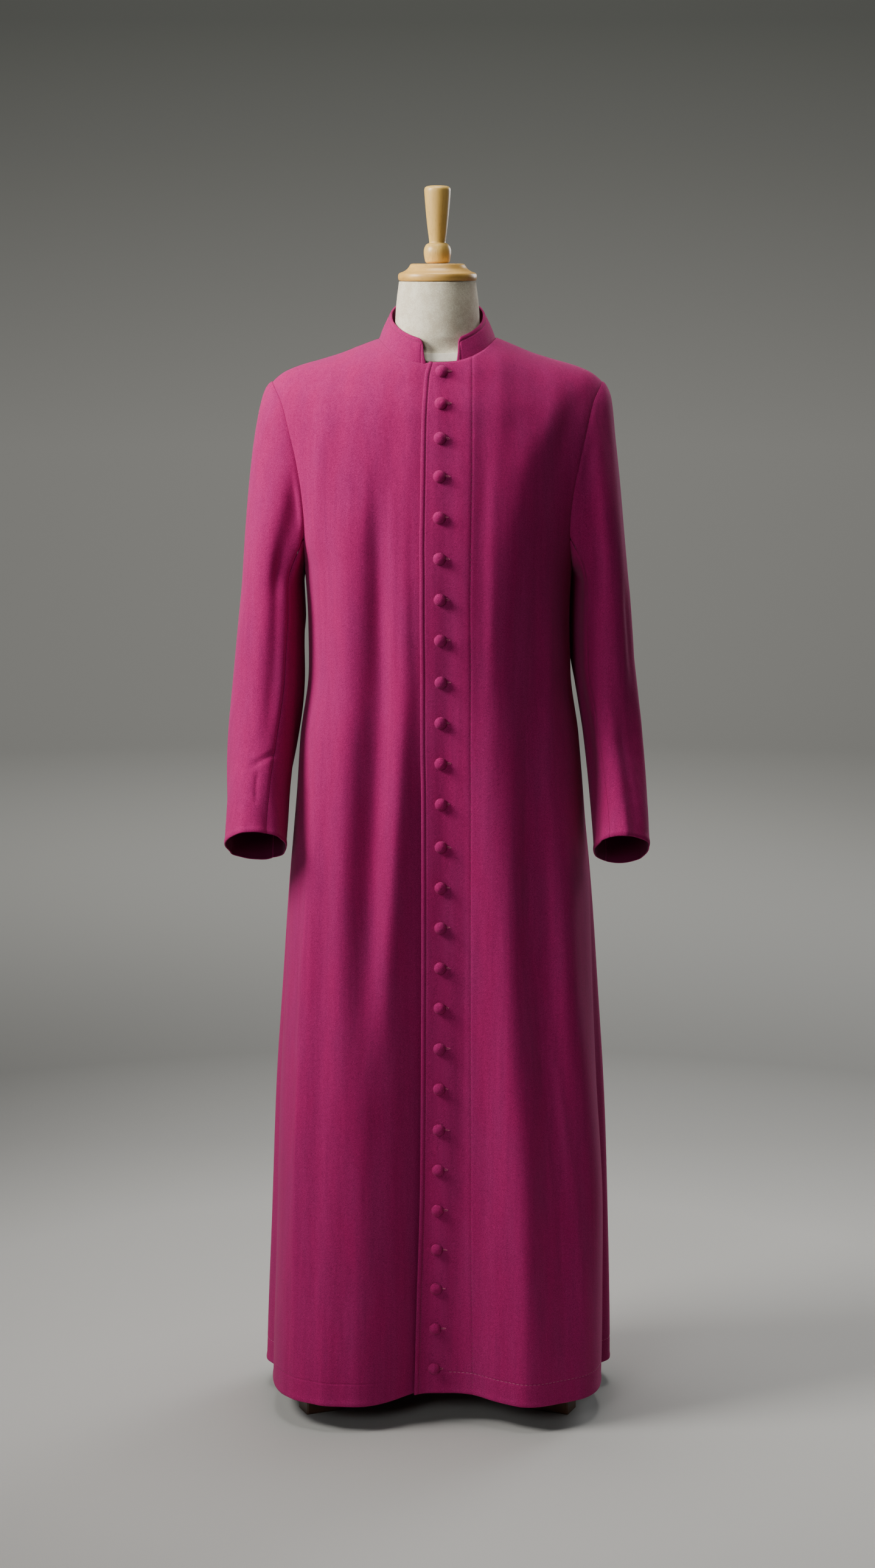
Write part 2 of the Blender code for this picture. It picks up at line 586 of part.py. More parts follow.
def sleeve_point(turn, along, side):
    """The sleeve's outer face: a cap that rounds from the armhole into the upper arm, then the tube."""
    top, cuff = SLEEVE[0].height, SLEEVE[-1].height - (LEFT_CUFF_DROP if side > 0 else 0)
    t = np.clip(along / CAP_SHARE, 0, 1)[:, None]
    start = armhole_loop(turn, side)
    end = sleeve_ring(turn, np.full_like(turn, top), side)
    high = (1 + np.cos(turn)) / 2
    length = 0.010 + 0.060 * high**1.3
    out = np.stack([side * (0.35 + 0.52 * high), -0.15 * np.sin(turn), -0.9 + 0.55 * high], axis=-1)
    leave = out * (length * 1.25)[:, None]
    arrive = np.stack([side * 0.06 * np.ones_like(turn), np.zeros_like(turn), -np.ones_like(turn)], axis=-1)
    arrive = arrive * (0.020 + 0.26 * high)[:, None]
    cap = ((2 * t**3 - 3 * t**2 + 1) * start + (t**3 - 2 * t**2 + t) * leave
           + (3 * t**2 - 2 * t**3) * end + (t**3 - t**2) * arrive)
    down = np.clip((along - CAP_SHARE) / (1 - CAP_SHARE), 0, 1)
    tube = sleeve_ring(turn, top + (cuff - top) * down, side)
    return np.where((along < CAP_SHARE)[:, None], cap, tube)


def sleeve_piece(name, side, under, material, collection):
    """Top sleeve or under sleeve; a gap the width of a seam is left between them."""
    columns = UNDER_SLEEVE_COLUMNS if under else TOP_SLEEVE_COLUMNS

    def place(across, down):
        front = np.radians(curve_through(FRONT_SEAM)(down))
        back = np.radians(curve_through(BACK_SEAM)(down))
        gap = SLEEVE_SEAM_GAP / 2 / SLEEVE_RADIUS
        if under:
            turn = front + gap + (back - front - 2 * gap) * across
        else:
            turn = back + gap + (front + 2 * math.pi - back - 2 * gap) * across
        return sleeve_point(turn, down, side)

    return cloth(name, columns, SLEEVE_ROWS, place, WALL, material, collection, flip=side > 0)


def collar_turns():
    """Degrees round the neck of the collar's columns: the ones at which the panels' columns meet the neckline."""
    share = np.arange(1, NECK_COLUMNS + 1) / NECK_COLUMNS
    left_front = np.degrees(neck_turn(neck_x(share, UNDERLAP_EDGE, 1)))
    back = 90 + 90 * np.arange(1, NECK_COLUMNS + 1) / NECK_COLUMNS
    other_back = 180 + 90 * np.arange(1, NECK_COLUMNS + 1) / NECK_COLUMNS
    edge = float(front_edge(NECKLINE_LEVEL))
    right_front = 360 + np.degrees(neck_turn(neck_x(share[::-1], edge, -1)))
    ends = [COLLAR_LEFT_END[0], 0.5 * (COLLAR_LEFT_END[0] + math.degrees(neck_turn(UNDERLAP_EDGE))),
            math.degrees(neck_turn(UNDERLAP_EDGE))]
    last = [360 + COLLAR_RIGHT_END[0]]
    middle = [turn for turn in right_front[1:] if turn < last[0] - 4]
    near_end = [0.5 * (middle[-1] + last[0])]
    return np.array(ends + list(left_front) + list(back) + list(other_back) + middle + near_end + last)


def collar_piece(material, collection):
    """The standing band: its foot follows the neckline and its top leans in towards the neck."""
    top_height = column(COLLAR_TOP, "top", by="turn")
    turns = collar_turns()
    columns = len(turns) - 1

    def place(across, down):
        up = 1 - down
        low_degrees = np.interp(across * columns, np.arange(columns + 1), turns)
        eased = (low_degrees - turns[0]) / (turns[-1] - turns[0])
        low = np.radians(low_degrees)
        high = np.radians(COLLAR_LEFT_END[1] + (360 + COLLAR_RIGHT_END[1] - COLLAR_LEFT_END[1]) * eased)
        back = np.cos(low) < 0
        foot_x = NECK_HALF_WIDTH * np.sin(low)
        foot = body_point(foot_x, neckline_height(low, back), back)
        foot[:, 2] += 3 * SEAM_GAP
        depth = np.where(np.cos(high) > 0, COLLAR_TOP_FRONT, COLLAR_TOP_BACK)
        turn = np.degrees(np.arccos(np.clip(np.cos(high), -1, 1)))
        head = np.stack([COLLAR_TOP_HALF_WIDTH * np.sin(high), -depth * np.cos(high), top_height(turn)], axis=-1)
        from_end = np.minimum(eased, 1 - eased) * COLLAR_LENGTH
        cut = np.clip(1 - from_end / COLLAR_CORNER, 0, 1)
        head[:, 2] -= COLLAR_CORNER * (1 - np.sqrt(np.clip(1 - cut * cut, 0, 1)))
        bulge = COLLAR_BULGE * np.sin(math.pi * up)
        points = foot + (head - foot) * up[:, None]
        points[:, 0] += bulge * np.sin(low)
        points[:, 1] -= bulge * np.cos(low)
        return points

    return cloth("collar", columns, COLLAR_ROWS, place, COLLAR_WALL, material, collection, flip=False)


def turned_solid(name, profile, steps, material, collection):
    """A turned shape: a profile down its outer side, swept round Z by a Screw modifier."""
    mesh = bpy.data.meshes.new(name)
    points = [(0.0, profile[0][1])] + list(profile) + [(0.0, profile[-1][1])]
    mesh.from_pydata([(r, 0.0, z) for r, z in points], [(i, i + 1) for i in range(len(points) - 1)], [])
    thing = new_object(name, mesh, material, collection)
    sweep = thing.modifiers.new("turn", "SCREW")
    sweep.steps = steps
    sweep.render_steps = steps
    sweep.use_merge_vertices = True
    sweep.merge_threshold = 0.00002
    sweep.use_smooth_shade = True
    return thing


def button_row(front_mesh, material, collection):
    """Covered domes along the overlapping front, each seated on the cloth and facing the way it does."""
    dome = [(BUTTON_RADIUS * math.sin(a), BUTTON_RISE * (0.12 + 0.88 * math.cos(a))) for a in np.radians([38, 72])]
    dome += [(BUTTON_RADIUS * 0.985, BUTTON_RISE * 0.10), (BUTTON_RADIUS * 0.80, 0.0)]
    dome.insert(0, (BUTTON_RADIUS * 0.14, BUTTON_RISE * 0.995))
    first = turned_solid("button_01", dome, 11, material, collection)
    front = front_mesh.data
    cloth_face = BVHTree.FromPolygons([v.co for v in front.vertices], [tuple(p.vertices) for p in front.polygons])
    for number, height in enumerate(BUTTON_HEIGHTS):
        x = float(button_line(height))
        middle, facing, _, _ = cloth_face.ray_cast(Vector((x, -0.5, height)), Vector((0, 1, 0)))
        flat = facing.to_track_quat("Z", "Y").to_matrix()
        rises = [0.0]
        for share in range(12):
            turn = 2 * math.pi * share / 12
            rim = flat @ Vector((BUTTON_RADIUS * math.cos(turn), BUTTON_RADIUS * math.sin(turn), 0))
            hit = cloth_face.ray_cast(middle + rim + facing * 0.02, -facing)[0]
            rises.append((hit - middle - rim).dot(facing))
        button = first
        if number:
            button = first.copy()
            button.name = f"button_{number + 1:02d}"
            collection.objects.link(button)
        button.location = middle + facing * (max(rises) + BUTTON_SEAT)
        button.rotation_euler = facing.to_track_quat("Z", "Y").to_euler()


def form_body(material, collection):
    """The canvas torso and neck, inside the cloth everywhere and just under it along the shoulders."""
    rings = [Neck(*row) for row in TORSO] + NECK
    wide = column(rings, "half_width")
    front = column(rings, "front")
    back = column(rings, "back")
    low, high = TORSO[0].height, NECK[-1].height
    levels = [low, 0.757, 0.82, 0.90, 0.98, 1.06, 1.15, 1.24, 1.31, 1.365, 1.40, 1.42]
    levels += [ring.height for ring in NECK]

    def place(turn, up):
        height = np.interp(up * (len(levels) - 1), np.arange(len(levels)), levels)
        angle = 2 * math.pi * turn
        power = np.interp(height, [1.36, 1.46], [2.4, 2.0])
        x = wide(height) * np.sign(np.sin(angle)) * np.abs(np.sin(angle)) ** (2 / power)
        ahead = np.cos(angle) > 0
        deep = np.where(ahead, front(height), back(height)) * np.abs(np.cos(angle)) ** (2 / power)
        y = np.where(ahead, -deep, deep) + NECK_CENTRE_Y * np.clip((height - 1.44) / 0.05, 0, 1)
        skin = np.abs(body_point(x, height + TORSO_CLEARANCE, ~ahead)[:, 1]) - WALL - TORSO_CLEARANCE
        skin = np.clip(skin, 0.0, None)
        under_cloth = (np.abs(x) > 0.076) | (height < neckline_height(neck_turn(x), ~ahead) + 0.003)
        y = np.where(under_cloth, np.clip(y, -skin, skin), y)
        return np.stack([x, y, height], axis=-1)

    return closed_tube("form_body", 32, len(levels) - 1, place, material, collection)


def stand(wood, collection):
    """Pole, eight-sided hub and four arched legs."""
    pole = [(POLE_RADIUS, TORSO[0].height - SEAM_GAP), (POLE_RADIUS, HUB_TOP + SEAM_GAP)]
    turned_solid("stand_pole", pole, 16, wood, collection)
    bpy.ops.mesh.primitive_cylinder_add(
        vertices=8, radius=HUB_APOTHEM / math.cos(math.pi / 8), depth=HUB_TOP - HUB_BOTTOM,
        location=(0, 0, (HUB_TOP + HUB_BOTTOM) / 2))
    hub = bpy.context.object
    hub.name = "stand_hub"
    hub.data.materials.append(wood)
    for owner in list(hub.users_collection):
        owner.objects.unlink(hub)
    collection.objects.link(hub)
    for number, turn in enumerate(LEG_TURNS):
        curve = bpy.data.curves.new(f"stand_leg_{number + 1}", "CURVE")
        curve.dimensions = "2D"
        curve.fill_mode = "BOTH"
        curve.extrude = LEG_HALF_WIDTH - LEG_EDGE
        curve.bevel_depth = LEG_EDGE
        curve.bevel_resolution = 0
        curve.offset = -LEG_EDGE
        line = curve.splines.new("POLY")
        line.points.add(len(LEG_OUTLINE) - 1)
        for point, (out, height) in zip(line.points, LEG_OUTLINE):
            point.co = (out, height, 0, 1)
        line.use_cyclic_u = True
        leg = new_object(f"stand_leg_{number + 1}", curve, wood, collection)
        facing = math.radians(turn - 90)
        start = HUB_APOTHEM + SEAM_GAP
        leg.location = (start * math.cos(facing), start * math.sin(facing), 0)
        leg.rotation_euler = (math.pi / 2, 0, facing)


def finish_material(name, colour, roughness):
    material = bpy.data.materials.new(name)
    material.use_nodes = True
    shader = material.node_tree.nodes["Principled BSDF"]
    shader.inputs["Base Color"].default_value = (*colour, 1)
    shader.inputs["Roughness"].default_value = roughness
    shader.inputs["Metallic"].default_value = 0
    return material


def build():
    for thing in list(bpy.data.objects):
        bpy.data.objects.remove(thing)
    parts = bpy.data.collections.new("cassock_on_form")
    bpy.context.scene.collection.children.link(parts)
    wool = finish_material("wool", (0.42, 0.035, 0.20), 0.9)
    canvas = finish_material("canvas", (0.70, 0.66, 0.57), 0.95)
    turned_wood = finish_material("turned_wood", (0.68, 0.45, 0.22), 0.45)
    stand_wood = finish_material("stand_wood", (0.28, 0.15, 0.07), 0.5)

    top_front = front_panel("front_left", 1, wool, parts)
    front_panel("front_right", -1, wool, parts)
    back_panel(wool, parts)
    for side, name in ((1, "left"), (-1, "right")):
        sleeve_piece(f"sleeve_top_{name}", side, False, wool, parts)
        sleeve_piece(f"sleeve_under_{name}", side, True, wool, parts)
    collar_piece(wool, parts)
    button_row(top_front, wool, parts)
    form_body(canvas, parts)
    turned_solid("form_cap", CAP_PROFILE, 28, turned_wood, parts)
    turned_solid("form_finial", FINIAL_PROFILE, 20, turned_wood, parts)
    for name in ("form_cap", "form_finial"):
        parts.objects[name].location.y = NECK_CENTRE_Y
    stand(stand_wood, parts)


build()
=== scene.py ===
import math
from collections import namedtuple

import bpy
import numpy as np
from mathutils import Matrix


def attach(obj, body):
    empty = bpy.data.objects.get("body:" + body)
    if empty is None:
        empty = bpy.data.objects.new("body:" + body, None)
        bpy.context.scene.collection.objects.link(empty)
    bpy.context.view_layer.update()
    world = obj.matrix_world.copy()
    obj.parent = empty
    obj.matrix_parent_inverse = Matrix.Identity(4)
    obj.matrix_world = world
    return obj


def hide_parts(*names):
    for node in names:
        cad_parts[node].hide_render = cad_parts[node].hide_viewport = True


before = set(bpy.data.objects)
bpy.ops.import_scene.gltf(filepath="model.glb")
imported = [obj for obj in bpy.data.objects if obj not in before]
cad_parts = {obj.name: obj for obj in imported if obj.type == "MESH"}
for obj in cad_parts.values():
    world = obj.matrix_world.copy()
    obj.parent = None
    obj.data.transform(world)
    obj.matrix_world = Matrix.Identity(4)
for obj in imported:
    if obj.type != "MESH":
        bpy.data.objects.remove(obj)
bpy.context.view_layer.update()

# The stand. A turned pole runs down from the torso into an eight-sided hub, and four arched legs are
# screwed and glued to the hub's sides. All of it is hardwood stained brown and waxed.
POLE_RADIUS = 0.014
POLE_LOW = 0.1383
POLE_HIGH = 0.7397
POLE_EDGE = 0.0015
STAND_PALE = (0.150, 0.062, 0.024, 1)
STAND_DARK = (0.050, 0.018, 0.007, 1)


def new_finish(name):
    """A material, with a function that adds a node to it and one that wires values into its shader."""
    material = bpy.data.materials.new(name)
    material.use_nodes = True
    tree = material.node_tree
    shader = tree.nodes["Principled BSDF"]

    def add(kind, sockets, **settings):
        node = tree.nodes.new("ShaderNode" + kind)
        for key, value in settings.items():
            setattr(node, key, value)
        for key, value in sockets.items():
            if isinstance(value, bpy.types.NodeSocket):
                tree.links.new(value, node.inputs[key])
            else:
                node.inputs[key].default_value = value
        return node.outputs

    def wire(**sockets):
        for key, value in sockets.items():
            socket = shader.inputs[key.replace("_", " ")]
            if isinstance(value, bpy.types.NodeSocket):
                tree.links.new(value, socket)
            else:
                socket.default_value = value

    return material, add, wire


def between(add, amount, low, high, dark, pale):
    """A colour that goes from dark to pale as amount goes from low to high."""
    share = add("MapRange", {"Value": amount, "From Min": low, "From Max": high})
    return add("MixRGB", {"Fac": share["Result"], "Color1": dark, "Color2": pale})["Color"]


def multiplied(add, first, second):
    """One colour times another."""
    return add("MixRGB", {"Fac": 1.0, "Color1": first, "Color2": second}, blend_type="MULTIPLY")["Color"]


def summed(add, first, second):
    """One value plus another."""
    return add("Math", {0: first, 1: second}, operation="ADD")[0]


def wood_finish(name, pale, dark, grain, streak_scale, roughness, coat):
    """Wood: noise drawn out along the grain gives streaks, a coarser one gives broad paler and darker
    growth, and a finer one gives short dark pores."""
    material, add, wire = new_finish(name)
    place = add("TexCoord", {})["Object"]
    drawn = add("Mapping", {"Vector": place, "Scale": grain})["Vector"]
    streaks = add("TexNoise", {"Vector": drawn, "Scale": streak_scale, "Detail": 4.0, "Roughness": 0.55,
                               "Distortion": 0.15})[0]
    growth = add("TexNoise", {"Vector": drawn, "Scale": streak_scale * 0.22, "Detail": 2.0})[0]
    pores = add("TexNoise", {"Vector": drawn, "Scale": streak_scale * 7, "Detail": 2.0})[0]
    lines = summed(add, streaks, growth)
    wood = between(add, lines, 0.72, 1.26, dark, pale)
    pore_dark = between(add, pores, 0.28, 0.42, (0.80, 0.74, 0.66, 1), (1, 1, 1, 1))
    colour = multiplied(add, wood, pore_dark)
    rough = add("MapRange", {"Value": streaks, "To Min": roughness + 0.08,
                             "To Max": roughness - 0.05})["Result"]
    bump = add("Bump", {"Height": pores, "Strength": 0.12, "Distance": 0.0003})["Normal"]
    wire(Base_Color=colour, Roughness=rough, Normal=bump, Coat_Weight=coat, Coat_Roughness=0.22)
    return material


def closed_object(name, points, quads, corners, material):
    """A closed mesh from arrays of points, quads and triangles. Where its signed volume, the sum over the
    faces of the box product of their corners, is negative, every face is turned round."""
    halves = np.concatenate([quads[:, [0, 1, 2]], quads[:, [0, 2, 3]], corners])
    a, b, c = (points[halves[:, k]] for k in range(3))
    if np.einsum("ij,ij->i", a, np.cross(b, c)).sum() < 0:
        quads = quads[:, ::-1]
        corners = corners[:, ::-1]
    mesh = bpy.data.meshes.new(name)
    mesh.from_pydata(points.tolist(), [], quads.tolist() + corners.tolist())
    mesh.polygons.foreach_set("use_smooth", np.ones(len(mesh.polygons), dtype=bool))
    mesh.materials.append(material)
    thing = bpy.data.objects.new(name, mesh)
    bpy.context.scene.collection.objects.link(thing)
    return thing


def tube_faces(rings, around, copies=1):
    """The quads of tubes of rings by around points, and the triangles that join both ends to one point each.
    Each copy holds its rings' points first and then its two end points."""
    k, j = np.meshgrid(np.arange(rings - 1), np.arange(around), indexing="ij")
    near = k * around + j
    wrapped = k * around + (j + 1) % around
    quads = np.stack([near, wrapped, wrapped + around, near + around], axis=-1).reshape(-1, 4)
    j = np.arange(around)
    ahead = (j + 1) % around
    last = (rings - 1) * around
    first_cap = np.stack([ahead, j, np.full(around, rings * around)], axis=-1)
    last_cap = np.stack([last + j, last + ahead, np.full(around, rings * around + 1)], axis=-1)
    caps = np.concatenate([first_cap, last_cap])
    step = np.arange(copies)[:, None, None] * (rings * around + 2)
    return (quads + step).reshape(-1, 4), (caps + step).reshape(-1, 3)


def rounded(profile, times):
    """A profile whose corners are cut: each side keeps its middle half, time after time."""
    line = np.array(profile, float)
    for _ in range(times):
        near = line[:-1] * 0.75 + line[1:] * 0.25
        far = line[:-1] * 0.25 + line[1:] * 0.75
        line = np.concatenate([line[:1], np.stack([near, far], axis=1).reshape(-1, 2), line[-1:]])
    return line


def turned_piece(name, profile, times, around, middle_y, material):
    """A turned piece: the point at profile step k and angle a is (r_k cos a, middle_y + r_k sin a, z_k)."""
    line = rounded(profile, times)
    turn = np.linspace(0, 2 * math.pi, around, endpoint=False)
    x = line[:, :1] * np.cos(turn)
    y = middle_y + line[:, :1] * np.sin(turn)
    z = np.broadcast_to(line[:, 1:], x.shape)
    ends = np.array([[0, middle_y, line[0, 1]], [0, middle_y, line[-1, 1]]])
    points = np.concatenate([np.stack([x, y, z], axis=-1).reshape(-1, 3), ends])
    quads, corners = tube_faces(len(line), around)
    return closed_object(name, points, quads, corners, material)


stand_wood = wood_finish("stand_wood_brown", STAND_PALE, STAND_DARK, (1.0, 1.0, 0.12), 55.0, 0.45, 0.15)
leg_wood = wood_finish("stand_wood_legs", STAND_PALE, STAND_DARK, (0.25, 0.25, 1.0), 55.0, 0.45, 0.15)
pole = turned_piece("stand_pole_turned",
                    [(POLE_RADIUS - POLE_EDGE, POLE_HIGH), (POLE_RADIUS, POLE_HIGH),
                     (POLE_RADIUS, POLE_HIGH - POLE_EDGE), (POLE_RADIUS, POLE_LOW + POLE_EDGE),
                     (POLE_RADIUS, POLE_LOW), (POLE_RADIUS - POLE_EDGE, POLE_LOW)],
                    2, 40, 0.0, stand_wood)
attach(pole, "root")
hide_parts("stand_pole")
for node in ("stand_hub", "stand_leg_1", "stand_leg_2", "stand_leg_3", "stand_leg_4"):
    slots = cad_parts[node].material_slots
    for slot in slots:
        slot.material = stand_wood if node == "stand_hub" else leg_wood

# The dress form. A limbless torso moulded in a hard shell with a thin pad under tightly stretched cream
# canvas, ending in a neck. A woven tape is glued round the neck's foot, over the canvas's turned edge.
Section = namedtuple("Section", "height half_width front back square_front square_back shift")
BODY = [
    Section(0.020, 0.2490, 0.177, 0.166, 3.2, 2.7, 0.001),
    Section(0.077, 0.2478, 0.176, 0.165, 3.2, 2.7, 0.002),
    Section(0.257, 0.2415, 0.168, 0.160, 3.1, 2.6, 0.003),
    Section(0.435, 0.2342, 0.156, 0.154, 3.0, 2.6, 0.004),
    Section(0.610, 0.2226, 0.146, 0.146, 2.8, 2.5, 0.004),
    Section(0.740, 0.2125, 0.141, 0.137, 2.7, 2.5, 0.004),
    Section(0.868, 0.1992, 0.137, 0.124, 2.6, 2.4, 0.004),
    Section(0.953, 0.1906, 0.134, 0.110, 2.5, 2.4, 0.003),
    Section(1.040, 0.1792, 0.132, 0.103, 2.4, 2.4, 0.003),
    Section(1.100, 0.1785, 0.133, 0.107, 2.4, 2.4, 0.002),
    Section(1.185, 0.1825, 0.136, 0.118, 2.4, 2.4, 0.001),
    Section(1.220, 0.1900, 0.136, 0.122, 2.4, 2.4, 0.000),
    Section(1.278, 0.2015, 0.136, 0.126, 2.4, 2.4, 0.000),
    Section(1.327, 0.2130, 0.137, 0.131, 2.4, 2.4, 0.000),
    Section(1.367, 0.2230, 0.139, 0.135, 2.4, 2.4, 0.000),
    Section(1.400, 0.2300, 0.143, 0.138, 2.4, 2.4, 0.000),
    Section(1.430, 0.2360, 0.146, 0.140, 2.4, 2.4, 0.000),
    Section(1.460, 0.2370, 0.154, 0.141, 2.4, 2.4, 0.000),
    Section(1.530, 0.2370, 0.160, 0.141, 2.4, 2.4, 0.000),
]
Ridge = namedtuple("Ridge", "out front back")
RIDGE = [
    Ridge(0.000, 1.5050, 1.530),
    Ridge(0.050, 1.4975, 1.514),
    Ridge(0.079, 1.4875, 1.4875),
    Ridge(0.108, 1.4768, 1.4768),
    Ridge(0.129, 1.4685, 1.4685),
    Ridge(0.157, 1.4599, 1.4599),
    Ridge(0.186, 1.4515, 1.4515),
    Ridge(0.206, 1.4430, 1.4430),
    Ridge(0.2225, 1.4300, 1.4300),
    Ridge(0.240, 1.4080, 1.4080),
]
# Soft folds: path as (height, out), rise as (height, metres), half width, and power of the bell
Fold = namedtuple("Fold", "path rise half_width power", defaults=[2])
FRONT_FOLDS = [
    Fold([(0.02, 0.006), (1.2, 0.010)],
         [(0.02, -0.056), (0.3, -0.041), (0.6, -0.023), (0.9, -0.010), (1.1, 0.0)], 0.085, 3),
    Fold([(0.3, -0.132), (1.25, -0.124)],
         [(0.2, 0.0), (0.5, 0.003), (0.9, 0.006), (1.1, 0.005), (1.28, 0.0)], 0.034),
    Fold([(0.55, -0.106), (0.70, -0.101), (0.85, -0.094), (1.00, -0.085), (1.15, -0.082), (1.30, -0.078)],
         [(0.46, 0.0), (0.68, -0.0105), (0.90, -0.0145), (1.08, -0.0140), (1.20, -0.0100),
          (1.30, -0.0030), (1.38, 0.0)], 0.021),
    Fold([(0.55, -0.078), (0.64, -0.073), (0.81, -0.061), (0.93, -0.053), (1.06, -0.046), (1.25, -0.044)],
         [(0.50, 0.0), (0.72, 0.0055), (1.05, 0.0030), (1.20, 0.0)], 0.016),
    Fold([(0.10, -0.214), (0.333, -0.199), (0.766, -0.172), (1.00, -0.158)],
         [(0.05, 0.002), (0.333, 0.004), (0.766, 0.004), (1.05, 0.0)], 0.014),
    Fold([(0.04, 0.138), (0.30, 0.112), (0.70, 0.086), (0.95, 0.079), (1.10, 0.081), (1.20, 0.089),
          (1.29, 0.106), (1.35, 0.131), (1.41, 0.168)],
         [(0.04, 0.0), (0.30, 0.005), (0.70, 0.008), (1.10, 0.006), (1.25, 0.004), (1.36, 0.003),
          (1.42, 0.0)], 0.030),
    Fold([(0.10, 0.160), (0.30, 0.152), (0.60, 0.139), (1.10, 0.128)],
         [(0.05, -0.003), (0.25, -0.008), (0.60, -0.009), (0.90, -0.004), (1.15, 0.0)], 0.026),
    Fold([(0.10, 0.214), (0.30, 0.208), (0.47, 0.192), (0.64, 0.174), (0.90, 0.160)],
         [(0.05, 0.009), (0.30, 0.0125), (0.47, 0.0100), (0.64, 0.0070), (0.95, 0.0)], 0.019),
]
BACK_FOLDS = [
    Fold([(0.02, 0.004), (1.1, 0.0)], [(0.02, -0.020), (0.4, -0.012), (0.8, -0.004), (1.0, 0.0)], 0.030),
    Fold([(0.02, -0.066), (1.0, -0.048)], [(0.02, 0.013), (0.4, 0.009), (0.8, 0.004), (1.0, 0.0)], 0.026),
    Fold([(0.02, 0.072), (1.0, 0.052)], [(0.02, 0.011), (0.35, 0.008), (0.8, 0.003), (1.0, 0.0)], 0.028),
    Fold([(0.02, -0.122), (1.0, -0.088)],
         [(0.02, -0.014), (0.4, -0.009), (0.75, -0.003), (0.95, 0.0)], 0.026),
    Fold([(0.02, 0.128), (1.0, 0.092)],
         [(0.02, -0.012), (0.4, -0.008), (0.75, -0.003), (0.95, 0.0)], 0.028),
    Fold([(0.02, -0.176), (1.0, -0.132)], [(0.02, 0.010), (0.4, 0.006), (0.8, 0.002), (1.0, 0.0)], 0.024),
    Fold([(0.02, 0.182), (1.0, 0.136)], [(0.02, 0.009), (0.4, 0.006), (0.8, 0.002), (1.0, 0.0)], 0.026),
]
# Smaller creases in the same form, of the front
FRONT_CREASES = [
    Fold([(1.20, 0.152), (1.30, 0.158), (1.38, 0.176), (1.425, 0.200)],
         [(1.12, 0.0), (1.24, -0.0030), (1.34, -0.0045), (1.40, -0.0030), (1.44, 0.0)], 0.020),
    Fold([(1.30, 0.190), (1.40, 0.196)], [(1.26, 0.0), (1.33, 0.0018), (1.40, 0.0)], 0.008),
    Fold([(0.98, -0.066), (1.33, -0.058)],
         [(0.98, 0.0), (1.08, 0.0013), (1.24, 0.0011), (1.34, 0.0)], 0.0065),
    Fold([(0.99, -0.086), (1.30, -0.080)],
         [(1.00, 0.0), (1.10, -0.0012), (1.22, -0.0010), (1.31, 0.0)], 0.007),
    Fold([(1.02, -0.102), (1.36, -0.094)],
         [(1.00, 0.0), (1.12, 0.0010), (1.26, 0.0012), (1.38, 0.0)], 0.008),
    Fold([(1.05, -0.036), (1.30, -0.034)],
         [(1.02, 0.0), (1.12, -0.0009), (1.22, -0.0008), (1.32, 0.0)], 0.006),
    Fold([(1.06, -0.146), (1.33, -0.152)],
         [(1.02, 0.0), (1.15, -0.0014), (1.25, -0.0010), (1.36, 0.0)], 0.011),
    Fold([(1.18, -0.168), (1.30, -0.160), (1.40, -0.150)],
         [(1.14, 0.0), (1.24, 0.0018), (1.34, 0.0014), (1.41, 0.0)], 0.012),
    Fold([(0.16, -0.200), (0.55, -0.190), (0.80, -0.176)],
         [(0.06, 0.0008), (0.30, 0.0018), (0.60, 0.0014), (0.82, 0.0)], 0.0050),
    Fold([(0.12, -0.176), (0.50, -0.166), (0.76, -0.150)],
         [(0.05, -0.0012), (0.30, -0.0020), (0.56, -0.0012), (0.78, 0.0)], 0.010),
    Fold([(0.06, -0.116), (0.50, -0.104)], [(0.04, -0.0060), (0.28, -0.0060), (0.56, 0.0)], 0.045),
    Fold([(0.05, -0.078), (0.36, -0.072)], [(0.04, -0.0014), (0.20, -0.0012), (0.40, 0.0)], 0.012),
    Fold([(0.16, 0.197), (0.34, 0.181), (0.56, 0.150), (0.66, 0.138)],
         [(0.06, 0.0008), (0.30, 0.0024), (0.52, 0.0018), (0.68, 0.0)], 0.0070),
    Fold([(0.12, 0.178), (0.36, 0.164), (0.58, 0.134)],
         [(0.06, 0.0), (0.24, -0.0022), (0.46, -0.0018), (0.62, 0.0)], 0.008),
    Fold([(0.58, 0.166), (0.80, 0.152)], [(0.52, 0.0), (0.64, 0.0022), (0.74, 0.0020), (0.86, 0.0)], 0.014),
    Fold([(0.66, 0.120), (1.02, 0.112)],
         [(0.60, 0.0), (0.76, -0.0018), (0.92, -0.0014), (1.06, 0.0)], 0.010),
    Fold([(0.80, 0.150), (1.16, 0.146)], [(0.78, 0.0), (0.92, 0.0016), (1.06, 0.0014), (1.20, 0.0)], 0.010),
    Fold([(0.06, 0.100), (0.40, 0.092)], [(0.04, -0.0016), (0.22, -0.0012), (0.44, 0.0)], 0.012),
    Fold([(1.02, 0.066), (1.32, 0.074)], [(1.00, 0.0), (1.12, 0.0012), (1.24, 0.0010), (1.36, 0.0)], 0.008),
    Fold([(0.98, 0.098), (1.24, 0.112)],
         [(0.96, 0.0), (1.06, -0.0012), (1.18, -0.0014), (1.28, 0.0)], 0.009),
]
